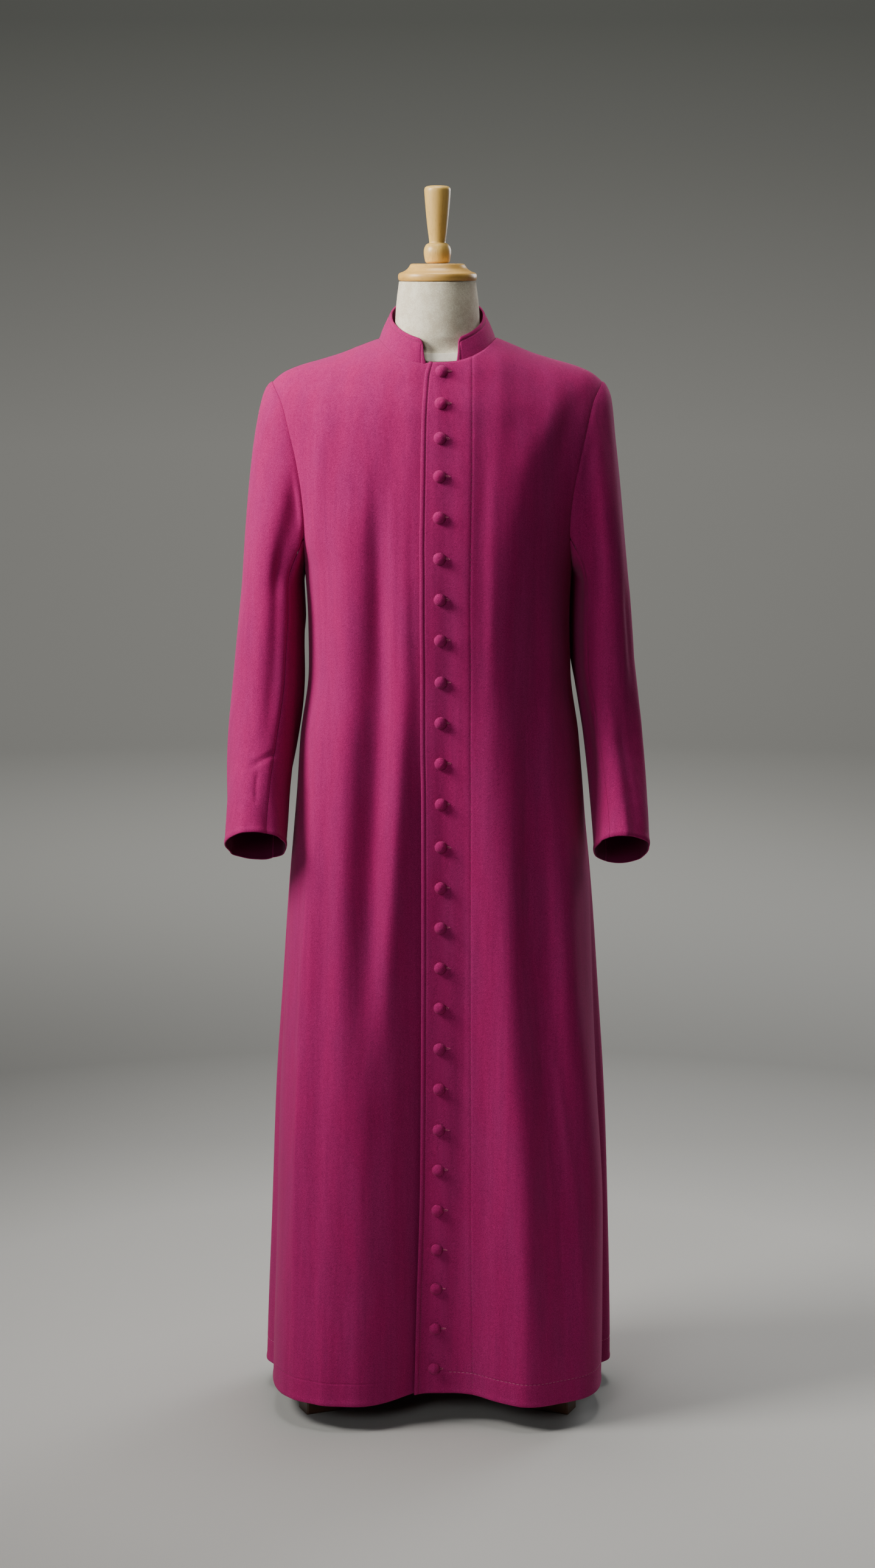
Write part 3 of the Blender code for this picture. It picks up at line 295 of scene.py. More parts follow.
# and of the back, which the photograph doesn't show
BACK_CREASES = [
    Fold([(0.06, -0.096), (0.60, -0.076)], [(0.04, 0.0020), (0.34, 0.0016), (0.64, 0.0)], 0.010),
    Fold([(0.06, 0.036), (0.52, 0.030)], [(0.04, -0.0018), (0.28, -0.0014), (0.56, 0.0)], 0.009),
    Fold([(0.10, 0.152), (0.70, 0.124)], [(0.06, 0.0016), (0.40, 0.0020), (0.74, 0.0)], 0.011),
    Fold([(0.12, -0.148), (0.66, -0.118)], [(0.06, -0.0016), (0.36, -0.0018), (0.72, 0.0)], 0.009),
    Fold([(1.06, -0.150), (1.20, -0.130), (1.34, -0.122)],
         [(1.02, 0.0), (1.14, 0.0020), (1.26, 0.0016), (1.38, 0.0)], 0.012),
    Fold([(1.06, 0.148), (1.18, 0.132), (1.32, 0.120)],
         [(1.02, 0.0), (1.12, 0.0016), (1.26, 0.0020), (1.38, 0.0)], 0.012),
    Fold([(1.10, -0.108), (1.34, -0.092)],
         [(1.04, 0.0), (1.16, -0.0020), (1.28, -0.0014), (1.38, 0.0)], 0.010),
    Fold([(1.08, 0.106), (1.36, 0.086)],
         [(1.04, 0.0), (1.18, -0.0018), (1.30, -0.0016), (1.40, 0.0)], 0.010),
    Fold([(0.84, -0.030), (1.16, -0.026)],
         [(0.80, 0.0), (0.96, 0.0014), (1.08, 0.0012), (1.20, 0.0)], 0.009),
    Fold([(0.82, 0.044), (1.14, 0.040)], [(0.80, 0.0), (0.92, 0.0014), (1.06, 0.0010), (1.18, 0.0)], 0.010),
]
# Long shallow waves that leave no stretch of the cloth quite flat: (height in metres, out, down, start)
WAVES = [(0.00040, 105.0, 3.1, 0.4), (0.00034, 163.0, -5.3, 2.1), (0.00050, 58.0, 7.7, 4.4),
         (0.00030, 34.0, 19.0, 1.3)]
SET_IN = [(0.02, 0.0250), (0.20, 0.0225), (0.40, 0.0180), (0.60, 0.0125), (0.80, 0.0040), (0.95, 0.0)]
SET_IN_TURN = 0.020
RIGHT_SET_IN = 0.62
UNDERARM_HEIGHT = 1.185
ROUND_OVER = 2.2
FOLD_FADE = 0.05
NECK_HALF_WIDTH = 0.079
NECK_CENTRE_Y = -0.012
NECKLINE_FRONT = 1.4575
NECKLINE_SIDE = 1.4875
NECKLINE_BACK = 1.5050
CAD_WALL = 0.002
TORSO_CLEARANCE = 0.0028
Ring = namedtuple("Ring", "height half_width front back")
FORM_RINGS = [
    Ring(0.740, 0.148, 0.098, 0.092),
    Ring(0.760, 0.156, 0.106, 0.099),
    Ring(0.880, 0.162, 0.112, 0.104),
    Ring(1.040, 0.140, 0.103, 0.083),
    Ring(1.150, 0.160, 0.118, 0.096),
    Ring(1.250, 0.171, 0.128, 0.114),
    Ring(1.330, 0.181, 0.126, 0.120),
    Ring(1.380, 0.193, 0.122, 0.120),
    Ring(1.415, 0.2035, 0.112, 0.112),
    Ring(1.4320, 0.2060, 0.090, 0.100),
    Ring(1.4415, 0.1900, 0.078, 0.090),
    Ring(1.4500, 0.1640, 0.072, 0.080),
    Ring(1.4590, 0.1380, 0.068, 0.070),
    Ring(1.4680, 0.1080, 0.062, 0.060),
    Ring(1.4770, 0.0800, 0.056, 0.050),
    Ring(1.4880, 0.0608, 0.0560, 0.0460),
    Ring(1.5050, 0.0568, 0.0560, 0.0450),
    Ring(1.5200, 0.0562, 0.0558, 0.0440),
    Ring(1.5400, 0.0545, 0.0545, 0.0430),
    Ring(1.5632, 0.0515, 0.0515, 0.0410),
]
TAPE_FRONT = 1.4640
TAPE_SIDE = 1.4840
TAPE_WIDTH = 0.010
TAPE_REACH = 48
TAPE_WALL = 0.0007
CANVAS_PALE = (0.96, 0.90, 0.70, 1)
CANVAS_DARK = (0.74, 0.65, 0.47, 1)


def curve_through(points):
    """A smooth function through (place, value) points: a cubic between each two, whose slope at a point is
    the harmonic mean of the slopes beside it, so that it never overshoots. It is level past its ends."""
    ordered = sorted(points)
    places = np.array([p[0] for p in ordered], float)
    values = np.array([p[1] for p in ordered], float)
    slopes = np.diff(values) / np.diff(places)
    tangents = np.zeros(len(values))
    both = slopes[:-1] * slopes[1:]
    with np.errstate(divide="ignore", invalid="ignore"):
        shared = 2 * both / (slopes[:-1] + slopes[1:])
    tangents[1:-1] = np.where(both > 0, shared, 0.0)
    tangents[0] = slopes[0]
    tangents[-1] = slopes[-1]

    def value(place):
        place = np.clip(np.asarray(place, float), places[0], places[-1])
        i = np.clip(np.searchsorted(places, place) - 1, 0, len(slopes) - 1)
        step = places[i + 1] - places[i]
        t = (place - places[i]) / step
        return ((2 * t**3 - 3 * t**2 + 1) * values[i] + (t**3 - 2 * t**2 + t) * step * tangents[i]
                + (3 * t**2 - 2 * t**3) * values[i + 1] + (t**3 - t**2) * step * tangents[i + 1])

    return value


def column(rows, name, by="height"):
    """A smooth function of height, or of another column, through one named column of a table."""
    return curve_through([(getattr(row, by), getattr(row, name)) for row in rows])


half_width = column(BODY, "half_width")
front_depth = column(BODY, "front")
back_depth = column(BODY, "back")
square_front = column(BODY, "square_front")
square_back = column(BODY, "square_back")
body_shift = column(BODY, "shift")
ridge_front = column(RIDGE, "front", by="out")
ridge_back = column(RIDGE, "back", by="out")
set_in = curve_through(SET_IN)


def shoulder_round(out, height, back):
    """How far the section has opened below the shoulder line: 0 on the line, 1 at the underarm."""
    top = np.where(back, ridge_back(out), ridge_front(out))
    down = np.clip((top - height) / (top - UNDERARM_HEIGHT), 0, 1)
    return np.sqrt(1 - (1 - down) ** ROUND_OVER)


def fold_rise(folds, x, height):
    """How far the folds together lift the cloth: each is a bell across its path."""
    rise = np.zeros_like(x)
    for fold in folds:
        away = np.abs(x - curve_through(fold.path)(height)) / fold.half_width
        rise = rise + curve_through(fold.rise)(height) * np.exp(-away**fold.power)
    return rise


def wave_rise(x, height):
    """The sum of a few long sine waves that run across the cloth and slowly down it."""
    return sum(high * np.sin(out * x + down * height + start) for high, out, down, start in WAVES)


def side_set_in(height, side):
    """How far the front's side edge lies in from the back's, less on the wearer's right."""
    return set_in(height) * np.where(side < 0, RIGHT_SET_IN, 1.0)


def panel_half_width(height, back, side):
    """Half the width of the section that the front or the back lies on."""
    return half_width(height) - np.where(back, 0.0, side_set_in(height, side))


def unlifted_point(x, height, back):
    """The outer face of the body's cloth at x and height: a squared oval, rounded off over the shoulder,
    with its folds and creases added along the way it faces."""
    wide = panel_half_width(height, back, x)
    deep = np.where(back, back_depth(height), front_depth(height))
    power = np.where(back, square_back(height), square_front(height))
    share = np.clip(np.abs(x) / wide, 0, 1)
    rest = np.clip(1 - share**power, 0, 1)
    oval = rest ** (1 / power)
    y = deep * oval * shoulder_round(np.abs(x), height, back)
    across = share ** (power - 1) / wide
    along = oval ** (power - 1) / deep
    size = np.hypot(across, along)
    if np.all(back):
        rise = fold_rise(BACK_FOLDS + BACK_CREASES, x, height)
    elif np.any(back):
        rise = np.where(back, fold_rise(BACK_FOLDS + BACK_CREASES, x, height),
                        fold_rise(FRONT_FOLDS + FRONT_CREASES, x, height))
    else:
        rise = fold_rise(FRONT_FOLDS + FRONT_CREASES, x, height)
    rise = (rise + wave_rise(x, height)) * np.clip(y / FOLD_FADE, 0, 1)
    turned_in = np.where(back, side_set_in(height, x) * np.exp(-((y / SET_IN_TURN) ** 2)), 0.0)
    out = x + np.sign(x) * across / size * rise - np.sign(x) * turned_in + body_shift(height)
    return np.stack([out, np.where(back, 1.0, -1.0) * (y + along / size * rise), height], axis=-1)


def body_point(x, height, back, lift=0.0):
    """The cloth's outer face, moved out by lift along its own normal."""
    x, height, back = np.broadcast_arrays(np.asarray(x, float), np.asarray(height, float), back)
    points = unlifted_point(x, height, back)
    if np.any(lift):
        step = 0.0004
        across = unlifted_point(x + step, height, back) - unlifted_point(x - step, height, back)
        upward = unlifted_point(x, height + step, back) - unlifted_point(x, height - step, back)
        facing = np.cross(across, upward) * np.where(back, -1.0, 1.0)[..., None]
        facing = facing / np.linalg.norm(facing, axis=-1, keepdims=True)
        points = points + facing * np.broadcast_to(lift, x.shape)[..., None]
    return points


def neckline_height(turn, back):
    """Height of the collar seam at an angle round the neck: low in front, highest behind."""
    front = NECKLINE_FRONT + (NECKLINE_SIDE - NECKLINE_FRONT) * np.abs(np.sin(turn)) ** 2.6
    rear = NECKLINE_SIDE + (NECKLINE_BACK - NECKLINE_SIDE) * np.abs(np.cos(turn)) ** 1.5
    return np.where(back, rear, front)


def neck_turn(x):
    """The angle round the neckline at x, from the middle."""
    return np.arcsin(np.clip(x / NECK_HALF_WIDTH, -1, 1))


def form_point(angle, height):
    """The canvas at an angle round the form: a squared oval of its own rings, kept under the cloth."""
    power = np.interp(height, [1.36, 1.46], [2.4, 2.0])
    wide = column(FORM_RINGS, "half_width")(height)
    x = wide * np.sign(np.sin(angle)) * np.abs(np.sin(angle)) ** (2 / power)
    ahead = np.cos(angle) > 0
    front = column(FORM_RINGS, "front")(height)
    back = column(FORM_RINGS, "back")(height)
    deep = np.where(ahead, front, back) * np.abs(np.cos(angle)) ** (2 / power)
    y = np.where(ahead, -deep, deep) + NECK_CENTRE_Y * np.clip((height - 1.44) / 0.05, 0, 1)
    skin = np.abs(body_point(x, height + TORSO_CLEARANCE, ~ahead)[..., 1]) - CAD_WALL - TORSO_CLEARANCE
    skin = np.clip(skin, 0.0, None)
    covered = (np.abs(x) > 0.076) | (height < neckline_height(neck_turn(x), ~ahead) + 0.003)
    y = np.where(covered, np.clip(y, -skin, skin), y)
    return np.stack([x, y, height], axis=-1)


def grid_normals(points, inside):
    """Unit normals of a grid of points (rows, columns, 3), facing away from the inside points."""
    normal = np.cross(np.gradient(points, axis=1), np.gradient(points, axis=0))
    normal = normal / np.maximum(np.linalg.norm(normal, axis=-1, keepdims=True), 1e-12)
    if np.sum(normal * (points - inside)) < 0:
        normal = -normal
    return normal


def cloth_shell(name, points, inside, wall, material):
    """A piece of cloth with a rounded edge. Its outer face is the grid of points, and its inner face lies
    one wall inwards along the normals, each evened out with its neighbours'. A half circle of three more
    rows joins them all round the edge. A point attribute is 1 on the inner face, which the wool finish
    paints darker as painted shade."""
    rows, columns = points.shape[:2]
    normal = grid_normals(points, inside)
    for _ in range(4):
        padded = np.pad(normal, ((1, 1), (1, 1), (0, 0)), mode="edge")
        normal = (padded[:-2, 1:-1] + padded[2:, 1:-1] + padded[1:-1, :-2] + padded[1:-1, 2:] + normal) / 5
    normal = normal / np.linalg.norm(normal, axis=-1, keepdims=True)
    edgeward = np.zeros_like(points)
    for place, neighbour in ((np.s_[0], np.s_[1]), (np.s_[-1], np.s_[-2]),
                             (np.s_[:, 0], np.s_[:, 1]), (np.s_[:, -1], np.s_[:, -2])):
        away = points[place] - points[neighbour]
        edgeward[place] += away / np.maximum(np.linalg.norm(away, axis=-1, keepdims=True), 1e-12)
    index = np.arange(rows * columns).reshape(rows, columns)
    loop = np.concatenate([index[0, :-1], index[:-1, -1], index[-1, :0:-1], index[:0:-1, 0]])
    flat = points.reshape(-1, 3)
    flat_normal = normal.reshape(-1, 3)
    outward = edgeward.reshape(-1, 3)[loop]
    outward -= flat_normal[loop] * np.sum(outward * flat_normal[loop], axis=-1, keepdims=True)
    outward /= np.maximum(np.linalg.norm(outward, axis=-1, keepdims=True), 1e-12)
    core = flat[loop] - flat_normal[loop] * (wall / 2)
    rims = [core + (flat_normal[loop] * math.cos(a) + outward * math.sin(a)) * (wall / 2)
            for a in np.radians([45, 90, 135])]
    everything = np.concatenate([flat, flat - flat_normal * wall, *rims])
    a = index[:-1, :-1].ravel()
    b = index[:-1, 1:].ravel()
    c = index[1:, 1:].ravel()
    d = index[1:, :-1].ravel()
    layer = rows * columns
    first_rim = 2 * layer + np.arange(len(loop))
    chain = [loop, first_rim, first_rim + len(loop), first_rim + 2 * len(loop), loop + layer]
    quads = [np.stack([a, b, c, d], axis=-1), np.stack([a, d, c, b], axis=-1) + layer]
    for near, far in zip(chain[:-1], chain[1:]):
        quads.append(np.stack([np.roll(near, -1), near, far, np.roll(far, -1)], axis=-1))
    thing = closed_object(name, everything, np.concatenate(quads), np.zeros((0, 3), int), material)
    # Mark the inner face, which the wool finish paints darker as painted shade.
    side = thing.data.attributes.new("inside_painted_shade", "FLOAT", "POINT")
    inner = np.zeros(len(everything))
    inner[layer:2 * layer] = 1.0
    side.data.foreach_set("value", inner)
    return thing


def canvas_finish(name, pale, dark, threads):
    """Plain-weave canvas: two sets of fine waves crossing, with slubs, and a speckle of unbleached fibre."""
    material, add, wire = new_finish(name)
    place = add("TexCoord", {})["Object"]
    level = add("TexWave", {"Vector": place, "Scale": threads, "Distortion": 1.5, "Detail": 2.0,
                            "Detail Scale": 3.0}, bands_direction="Z")[1]
    upright = add("TexWave", {"Vector": place, "Scale": threads, "Distortion": 1.5, "Detail": 2.0,
                              "Detail Scale": 3.0}, bands_direction="X")[1]
    weave = add("Math", {0: level, 1: upright}, operation="MULTIPLY")[0]
    speckle = add("TexNoise", {"Vector": place, "Scale": 760.0, "Detail": 2.0, "Roughness": 0.6})[0]
    mottle = add("TexNoise", {"Vector": place, "Scale": 60.0, "Detail": 4.0, "Roughness": 0.65})[0]
    threads_seen = add("MapRange", {"Value": weave, "To Max": 0.25})["Result"]
    fibres = summed(add, speckle, threads_seen)
    both = summed(add, fibres, mottle)
    colour = between(add, both, 0.94, 1.22, dark, pale)
    rough_height = summed(add, weave, speckle)
    bump = add("Bump", {"Height": rough_height, "Strength": 0.40, "Distance": 0.0005})["Normal"]
    wire(Base_Color=colour, Roughness=0.92, Normal=bump, Sheen_Weight=0.12)
    return material


canvas = canvas_finish("canvas_cream", CANVAS_PALE, CANVAS_DARK, 420.0)
tape_cloth = canvas_finish("canvas_tape", (0.98, 0.94, 0.79, 1), (0.88, 0.82, 0.66, 1), 700.0)
form_turn = np.linspace(0, 2 * math.pi, 96, endpoint=False)
form_heights = np.concatenate([np.linspace(FORM_RINGS[0].height, 1.40, 46)[:-1],
                               np.linspace(1.40, FORM_RINGS[-1].height, 60)])
angle, level = np.meshgrid(form_turn, form_heights)
form_skin = form_point(angle, level)
form_ends = np.array([form_skin[0].mean(axis=0), form_skin[-1].mean(axis=0)])
quads, corners = tube_faces(len(form_heights), len(form_turn))
form_points = np.concatenate([form_skin.reshape(-1, 3), form_ends])
form = closed_object("form_torso_canvas", form_points, quads, corners, canvas)
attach(form, "root")
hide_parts("form_body")

tape_turn = np.linspace(math.radians(-TAPE_REACH), math.radians(TAPE_REACH), 120)
angle, level = np.meshgrid(tape_turn, np.linspace(-0.5, 0.5, 9))
level = TAPE_FRONT + (TAPE_SIDE - TAPE_FRONT) * np.sin(angle) ** 2 + TAPE_WIDTH * level
tape_points = form_point(angle, level)
tape_middle = np.zeros_like(tape_points) + [0, 0.1, 0]
tape_middle[..., 2] = level
tape_points = tape_points + grid_normals(tape_points, tape_middle) * (TAPE_WALL + 0.0002)
tape = cloth_shell("form_neck_tape", tape_points, tape_middle, TAPE_WALL, tape_cloth)
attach(tape, "root")

# The turned cap and finial. Both are pale hardwood turned on a lathe and lacquered: the cap closes the
# neck and the finial is screwed through it, with a ball at its foot and a handle that widens upwards.
CAP_PROFILE = [(0.0120, 1.5868), (0.0330, 1.5870), (0.0360, 1.5862), (0.0372, 1.5845), (0.0400, 1.5800),
               (0.0455, 1.5762), (0.0505, 1.5748), (0.0524, 1.5730), (0.0530, 1.5695), (0.0524, 1.5660),
               (0.0508, 1.5636), (0.0120, 1.5636)]
FINIAL_PROFILE = [(0.0040, 1.6896), (0.0080, 1.6896), (0.0150, 1.6884), (0.0174, 1.6860), (0.0177, 1.6820),
                  (0.0160, 1.6600), (0.0135, 1.6350), (0.0108, 1.6152), (0.0112, 1.6140), (0.0150, 1.6124),
                  (0.0178, 1.6075), (0.0184, 1.6015), (0.0176, 1.5950), (0.0160, 1.5874), (0.0080, 1.5874)]
PALE_WOOD = (0.93, 0.62, 0.170, 1)
PALE_WOOD_GRAIN = (0.74, 0.45, 0.115, 1)
CAP_WOOD = (0.84, 0.50, 0.125, 1)
CAP_WOOD_GRAIN = (0.56, 0.30, 0.065, 1)

cap_wood = wood_finish("turned_wood_cap", CAP_WOOD, CAP_WOOD_GRAIN, (0.06, 0.8, 2.2), 90.0, 0.40, 0.15)
finial_wood = wood_finish("turned_wood_finial", PALE_WOOD, PALE_WOOD_GRAIN, (1.0, 1.0, 0.05), 130.0,
                          0.38, 0.22)
cap = turned_piece("form_cap_turned", CAP_PROFILE, 2, 96, NECK_CENTRE_Y, cap_wood)
finial = turned_piece("form_finial_turned", FINIAL_PROFILE, 2, 72, NECK_CENTRE_Y, finial_wood)
for piece, node in ((cap, "form_cap"), (finial, "form_finial")):
    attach(piece, "root")
    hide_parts(node)

# The fronts. Each is one length of a soft napped wool from shoulder to hem. The wearer's left closes on
# top: its edge is faced, turned and stitched, and the facing is caught down by a second row of stitches.
WALL = 0.0018
HEM_HEIGHT = 0.038
HEM_LIFT = 0.0065
HEM_LIFT_FROM = 0.30
HEM_LIFT_MIDDLE = 0.010
HEM_LIFT_WIDTH = 0.075
SHOULDER_HEIGHT = 1.430
SHOULDER_HALF_WIDTH = 0.2225
NECKLINE_LEVEL = 1.46
NECK_SHARE = 0.5
UNDERLAP_EDGE = 0.036
PLACKET_LIFT = CAD_WALL + 0.0006
FACING_STITCH = 0.046
FACING_FADE = 0.075
SEAM_SHIFT = 0.00025
SEAM_EASE = 0.004
LAP_END = 0.058
EDGE_BAND = 0.009
UNDER_DIP_IN = 0.010
UNDER_DIP_WIDTH = 0.021
STITCH_BAND = 0.004
ROLL_DEPTH = 0.0012
ARMHOLE_ROLL = 0.0003
ROLL_WIDTH = 0.0026
COLLAR_DIP = 0.0009
COLLAR_DIP_WIDTH = 0.0022
EDGE_ROW = 0.0058
RIM_RISE = 0.0006
RIM_IN = 0.0024
RIM_WIDTH = 0.0022
ROW_DEPTH = 0.0006
ROW_WIDTH = 0.0009
GROOVE_DEPTH = 0.0004
GROOVE_WIDTH = 0.0011
PUCKER_FINE = 640.0
PUCKER_LONG = 87.0
PILLOW_RISE = 0.0002
PILLOW_OFF = 0.0045
PILLOW_WIDTH = 0.0028
HEM_ROW = 0.0315
HEM_GROOVE = 0.0005
HEM_FULLNESS = 0.0007
FULLNESS_IN = 0.003
FULLNESS_WIDTH = 0.004
Armhole = namedtuple("Armhole", "height front back")
ARMHOLE = [
    Armhole(1.1850, 0.1825, 0.1825),
    Armhole(1.2000, 0.1812, 0.1830),
    Armhole(1.2212, 0.1800, 0.1845),
    Armhole(1.2400, 0.1797, 0.1870),
    Armhole(1.2775, 0.1822, 0.1925),
    Armhole(1.3272, 0.1894, 0.2000),
    Armhole(1.3667, 0.1988, 0.2075),
    Armhole(1.4026, 0.2088, 0.2140),
    Armhole(1.4300, 0.2225, 0.2225),
]
front_edge = curve_through([(0.020, -0.0350), (0.159, -0.0322), (0.333, -0.0276), (0.766, -0.0254),
                            (0.973, -0.0255), (1.136, -0.0245), (1.219, -0.0232), (1.293, -0.0220),
                            (1.377, -0.0206), (1.439, -0.0165), (1.462, -0.0100)])
facing_line = curve_through([(0.040, 0.0495), (0.333, 0.0438), (0.724, 0.0419), (1.136, 0.0412),
                             (1.229, 0.0438), (1.330, 0.0452), (1.456, 0.0455)])
under_dip_depth = curve_through([(0.0, 0.004), (0.30, 0.0075), (0.86, 0.0075), (0.98, 0.002), (1.06, 0.0),
                                 (1.5, 0.0)])
armhole_front = column(ARMHOLE, "front")
armhole_back = column(ARMHOLE, "back")
WOOL_PALE = (0.47, 0.019, 0.166, 1)
WOOL_DEEP = (0.23, 0.0060, 0.077, 1)
# Painted shade: a darker colour on the cloth's inner face, for the dim inside of the garment, its sleeves and
# cuffs.
WOOL_INSIDE_PAINTED_SHADE = (0.11, 0.004, 0.038, 1)
TWILL_SLANT = 0.8


def wool_finish(name):
    """Napped wool twill: a fine speckle of pale and deep fibres over fine slanting ribs, faint streaks down
    the length, broad soft bands a little greyer or redder, and a short nap from the sheen and the bump. The
    cloth's inner face is painted darker: painted shade for the dim inside of the garment, its sleeves and
    cuffs."""
    material, add, wire = new_finish(name)
    place = add("TexCoord", {})["Object"]
    speckle = add("TexNoise", {"Vector": place, "Scale": 1250.0, "Detail": 2.0, "Roughness": 0.65})[0]
    slant = add("Mapping", {"Vector": place, "Rotation": (0.0, TWILL_SLANT, 0.0), "Scale": (1.0, 1.0, 5.0)},
                vector_type="TEXTURE")["Vector"]
    ribs = add("TexNoise", {"Vector": slant, "Scale": 1100.0, "Detail": 1.0})[0]
    low_ribs = add("MapRange", {"Value": ribs, "To Max": 0.2})["Result"]
    weave = summed(add, speckle, low_ribs)
    long_place = add("Mapping", {"Vector": place, "Scale": (1.0, 1.0, 0.05)})["Vector"]
    streak = add("TexNoise", {"Vector": long_place, "Scale": 190.0, "Detail": 3.0})[0]
    band_place = add("Mapping", {"Vector": place, "Scale": (1.0, 1.0, 0.22)})["Vector"]
    band = add("TexNoise", {"Vector": band_place, "Scale": 38.0, "Detail": 3.0, "Roughness": 0.55})[0]
    thread = between(add, weave, 0.44, 0.80, WOOL_DEEP, WOOL_PALE)
    streaked = between(add, streak, 0.30, 0.70, (0.93, 0.92, 0.94, 1), (1.06, 1.07, 1.05, 1))
    mixed = multiplied(add, thread, streaked)
    banded = between(add, band, 0.34, 0.66, (1.03, 0.86, 0.97, 1), (0.97, 1.18, 1.03, 1))
    colour = multiplied(add, mixed, banded)
    # Painted shade: the inner face takes the darker colour.
    inside_painted_shade = add("Attribute", {}, attribute_name="inside_painted_shade")["Fac"]
    colour = add("MixRGB", {"Fac": inside_painted_shade, "Color1": colour, "Color2": WOOL_INSIDE_PAINTED_SHADE})["Color"]
    bump = add("Bump", {"Height": weave, "Strength": 0.35, "Distance": 0.0005})["Normal"]
    wire(Base_Color=colour, Roughness=0.95, Normal=bump, Sheen_Weight=0.12, Sheen_Roughness=0.40,
         Sheen_Tint=(1.0, 0.55, 0.78, 1), Specular_IOR_Level=0.18)
    return material


def stretches(start, *parts):
    """Values in equal steps from stretch to stretch; each part is where a stretch ends and its steps."""
    values = [np.array([start], float)]
    for end, steps in parts:
        values.append(np.linspace(start, end, steps + 1)[1:])
        start = end
    return np.concatenate(values)


def below_top(z_top, down):
    """Height of a point a share of the way down: 0 at the top edge, 1 at the underarm, 2 at the hem."""
    upper = np.clip(down, 0, 1) ** 2
    lower = np.clip(down - 1, 0, 1)
    return z_top + (UNDERARM_HEIGHT - z_top) * upper + (HEM_HEIGHT - UNDERARM_HEIGHT) * lower


def lift_hem(points, x):
    """The fronts hang a little shorter at the middle, where they overlap: a bell of x, near the hem only."""
    low = np.clip((HEM_LIFT_FROM - points[..., 2]) / (HEM_LIFT_FROM - HEM_HEIGHT), 0, 1) ** 2
    bell = np.exp(-np.abs((x - HEM_LIFT_MIDDLE) / HEM_LIFT_WIDTH) ** 4)
    return points + (HEM_LIFT * low * bell)[..., None] * [0, 0, 1]


def oval_x(across, height, side, back, start):
    """x on the section at that share of the way round from the middle edge, at x = start, to the side: equal
    shares are equal angles of the squared oval."""
    power = np.where(back, square_back(height), square_front(height))
    wide = panel_half_width(height, back, side)
    begin = start(height)
    first = np.arcsin(np.clip(np.abs(begin) / wide, 0, 1) ** (power / 2)) * np.sign(begin)
    turn = first + (side * math.pi / 2 - first) * across
    return wide * np.sign(np.sin(turn)) * np.abs(np.sin(turn)) ** (2 / power)


def half_panel(across, down, side, back, start):
    """A half panel's x and height. Above the underarm its columns run from the neckline and the shoulder
    seam to the underarm's section, with the outer one on the armhole's cut edge."""
    first = math.asin(float(start(NECKLINE_LEVEL)) / NECK_HALF_WIDTH)
    on_neck = np.clip(across / NECK_SHARE, 0, 1)
    x_neck = NECK_HALF_WIDTH * np.sin(first + (side * math.pi / 2 - first) * on_neck)
    along = np.clip((across - NECK_SHARE) / (1 - NECK_SHARE), 0, 1)
    x_shoulder = side * (NECK_HALF_WIDTH + (SHOULDER_HALF_WIDTH - NECK_HALF_WIDTH) * along)
    x_top = np.where(across < NECK_SHARE, x_neck, x_shoulder)
    z_neck = neckline_height(neck_turn(x_neck), back)
    ridge = ridge_back if back else ridge_front
    z_top = np.where(across < NECK_SHARE, z_neck, ridge(np.abs(x_shoulder)))
    height = below_top(z_top, down)
    upper = np.clip(down, 0, 1) ** 2
    underarm = np.full_like(height, UNDERARM_HEIGHT)
    x_up = x_top + (oval_x(across, underarm, side, back, start) - x_top) * upper
    cut = (armhole_back if back else armhole_front)(below_top(SHOULDER_HEIGHT, down))
    edge = SHOULDER_HALF_WIDTH + (half_width(UNDERARM_HEIGHT) - SHOULDER_HALF_WIDTH) * upper
    x_up = x_up + side * (cut - edge) * across**2.5
    middle = start(NECKLINE_LEVEL) + (start(UNDERARM_HEIGHT) - start(NECKLINE_LEVEL)) * upper
    x_up = x_up + (start(height) - middle) * np.clip(1 - across * 3, 0, 1) ** 2
    return np.where(down > 1, oval_x(across, height, side, back, start), x_up), height


def lap_x(step, height):
    """x of a column in the overlap: evenly spaced between five lines that follow the edge and the facing."""
    edge = front_edge(height)
    facing = facing_line(height)
    lines = np.stack([edge, edge + EDGE_BAND, facing - STITCH_BAND, facing + STITCH_BAND,
                      np.full_like(edge, LAP_END)])
    index = np.clip(step.astype(int), 0, 3)
    near = np.take_along_axis(lines, index[None], axis=0)[0]
    far = np.take_along_axis(lines, index[None] + 1, axis=0)[0]
    return near + (far - near) * (step - index)


def placket_lift(x, height):
    """The overlapping front rides on the under one. Its edge is a rolled rim beside a row of stitches, and
    the facing's row of stitches is a groove with a little pucker along it."""
    down = np.clip((x - FACING_STITCH) / FACING_FADE, 0, 1)
    lap = PLACKET_LIFT * (1 - down * down * (3 - 2 * down))
    in_from_edge = x - front_edge(height)
    rim = RIM_RISE * np.exp(-((in_from_edge - RIM_IN) / RIM_WIDTH) ** 2)
    row = -ROW_DEPTH * np.exp(-((in_from_edge - EDGE_ROW) / ROW_WIDTH) ** 2)
    off_facing = x - facing_line(height)
    pucker = 0.75 + 0.25 * np.sin(height * PUCKER_FINE) * np.sin(height * PUCKER_LONG + 1.0)
    groove = -GROOVE_DEPTH * pucker * np.exp(-(off_facing / GROOVE_WIDTH) ** 2)
    pillow = PILLOW_RISE * np.exp(-((np.abs(off_facing) - PILLOW_OFF) / PILLOW_WIDTH) ** 2)
    return lap + rim + row + groove + pillow


def under_dip(x, height):
    """The under front falls away just beside the placket's edge, below the waist: a bell across its path."""
    away = (x - front_edge(height) - UNDER_DIP_IN) / UNDER_DIP_WIDTH
    return -under_dip_depth(height) * np.exp(-away**2)


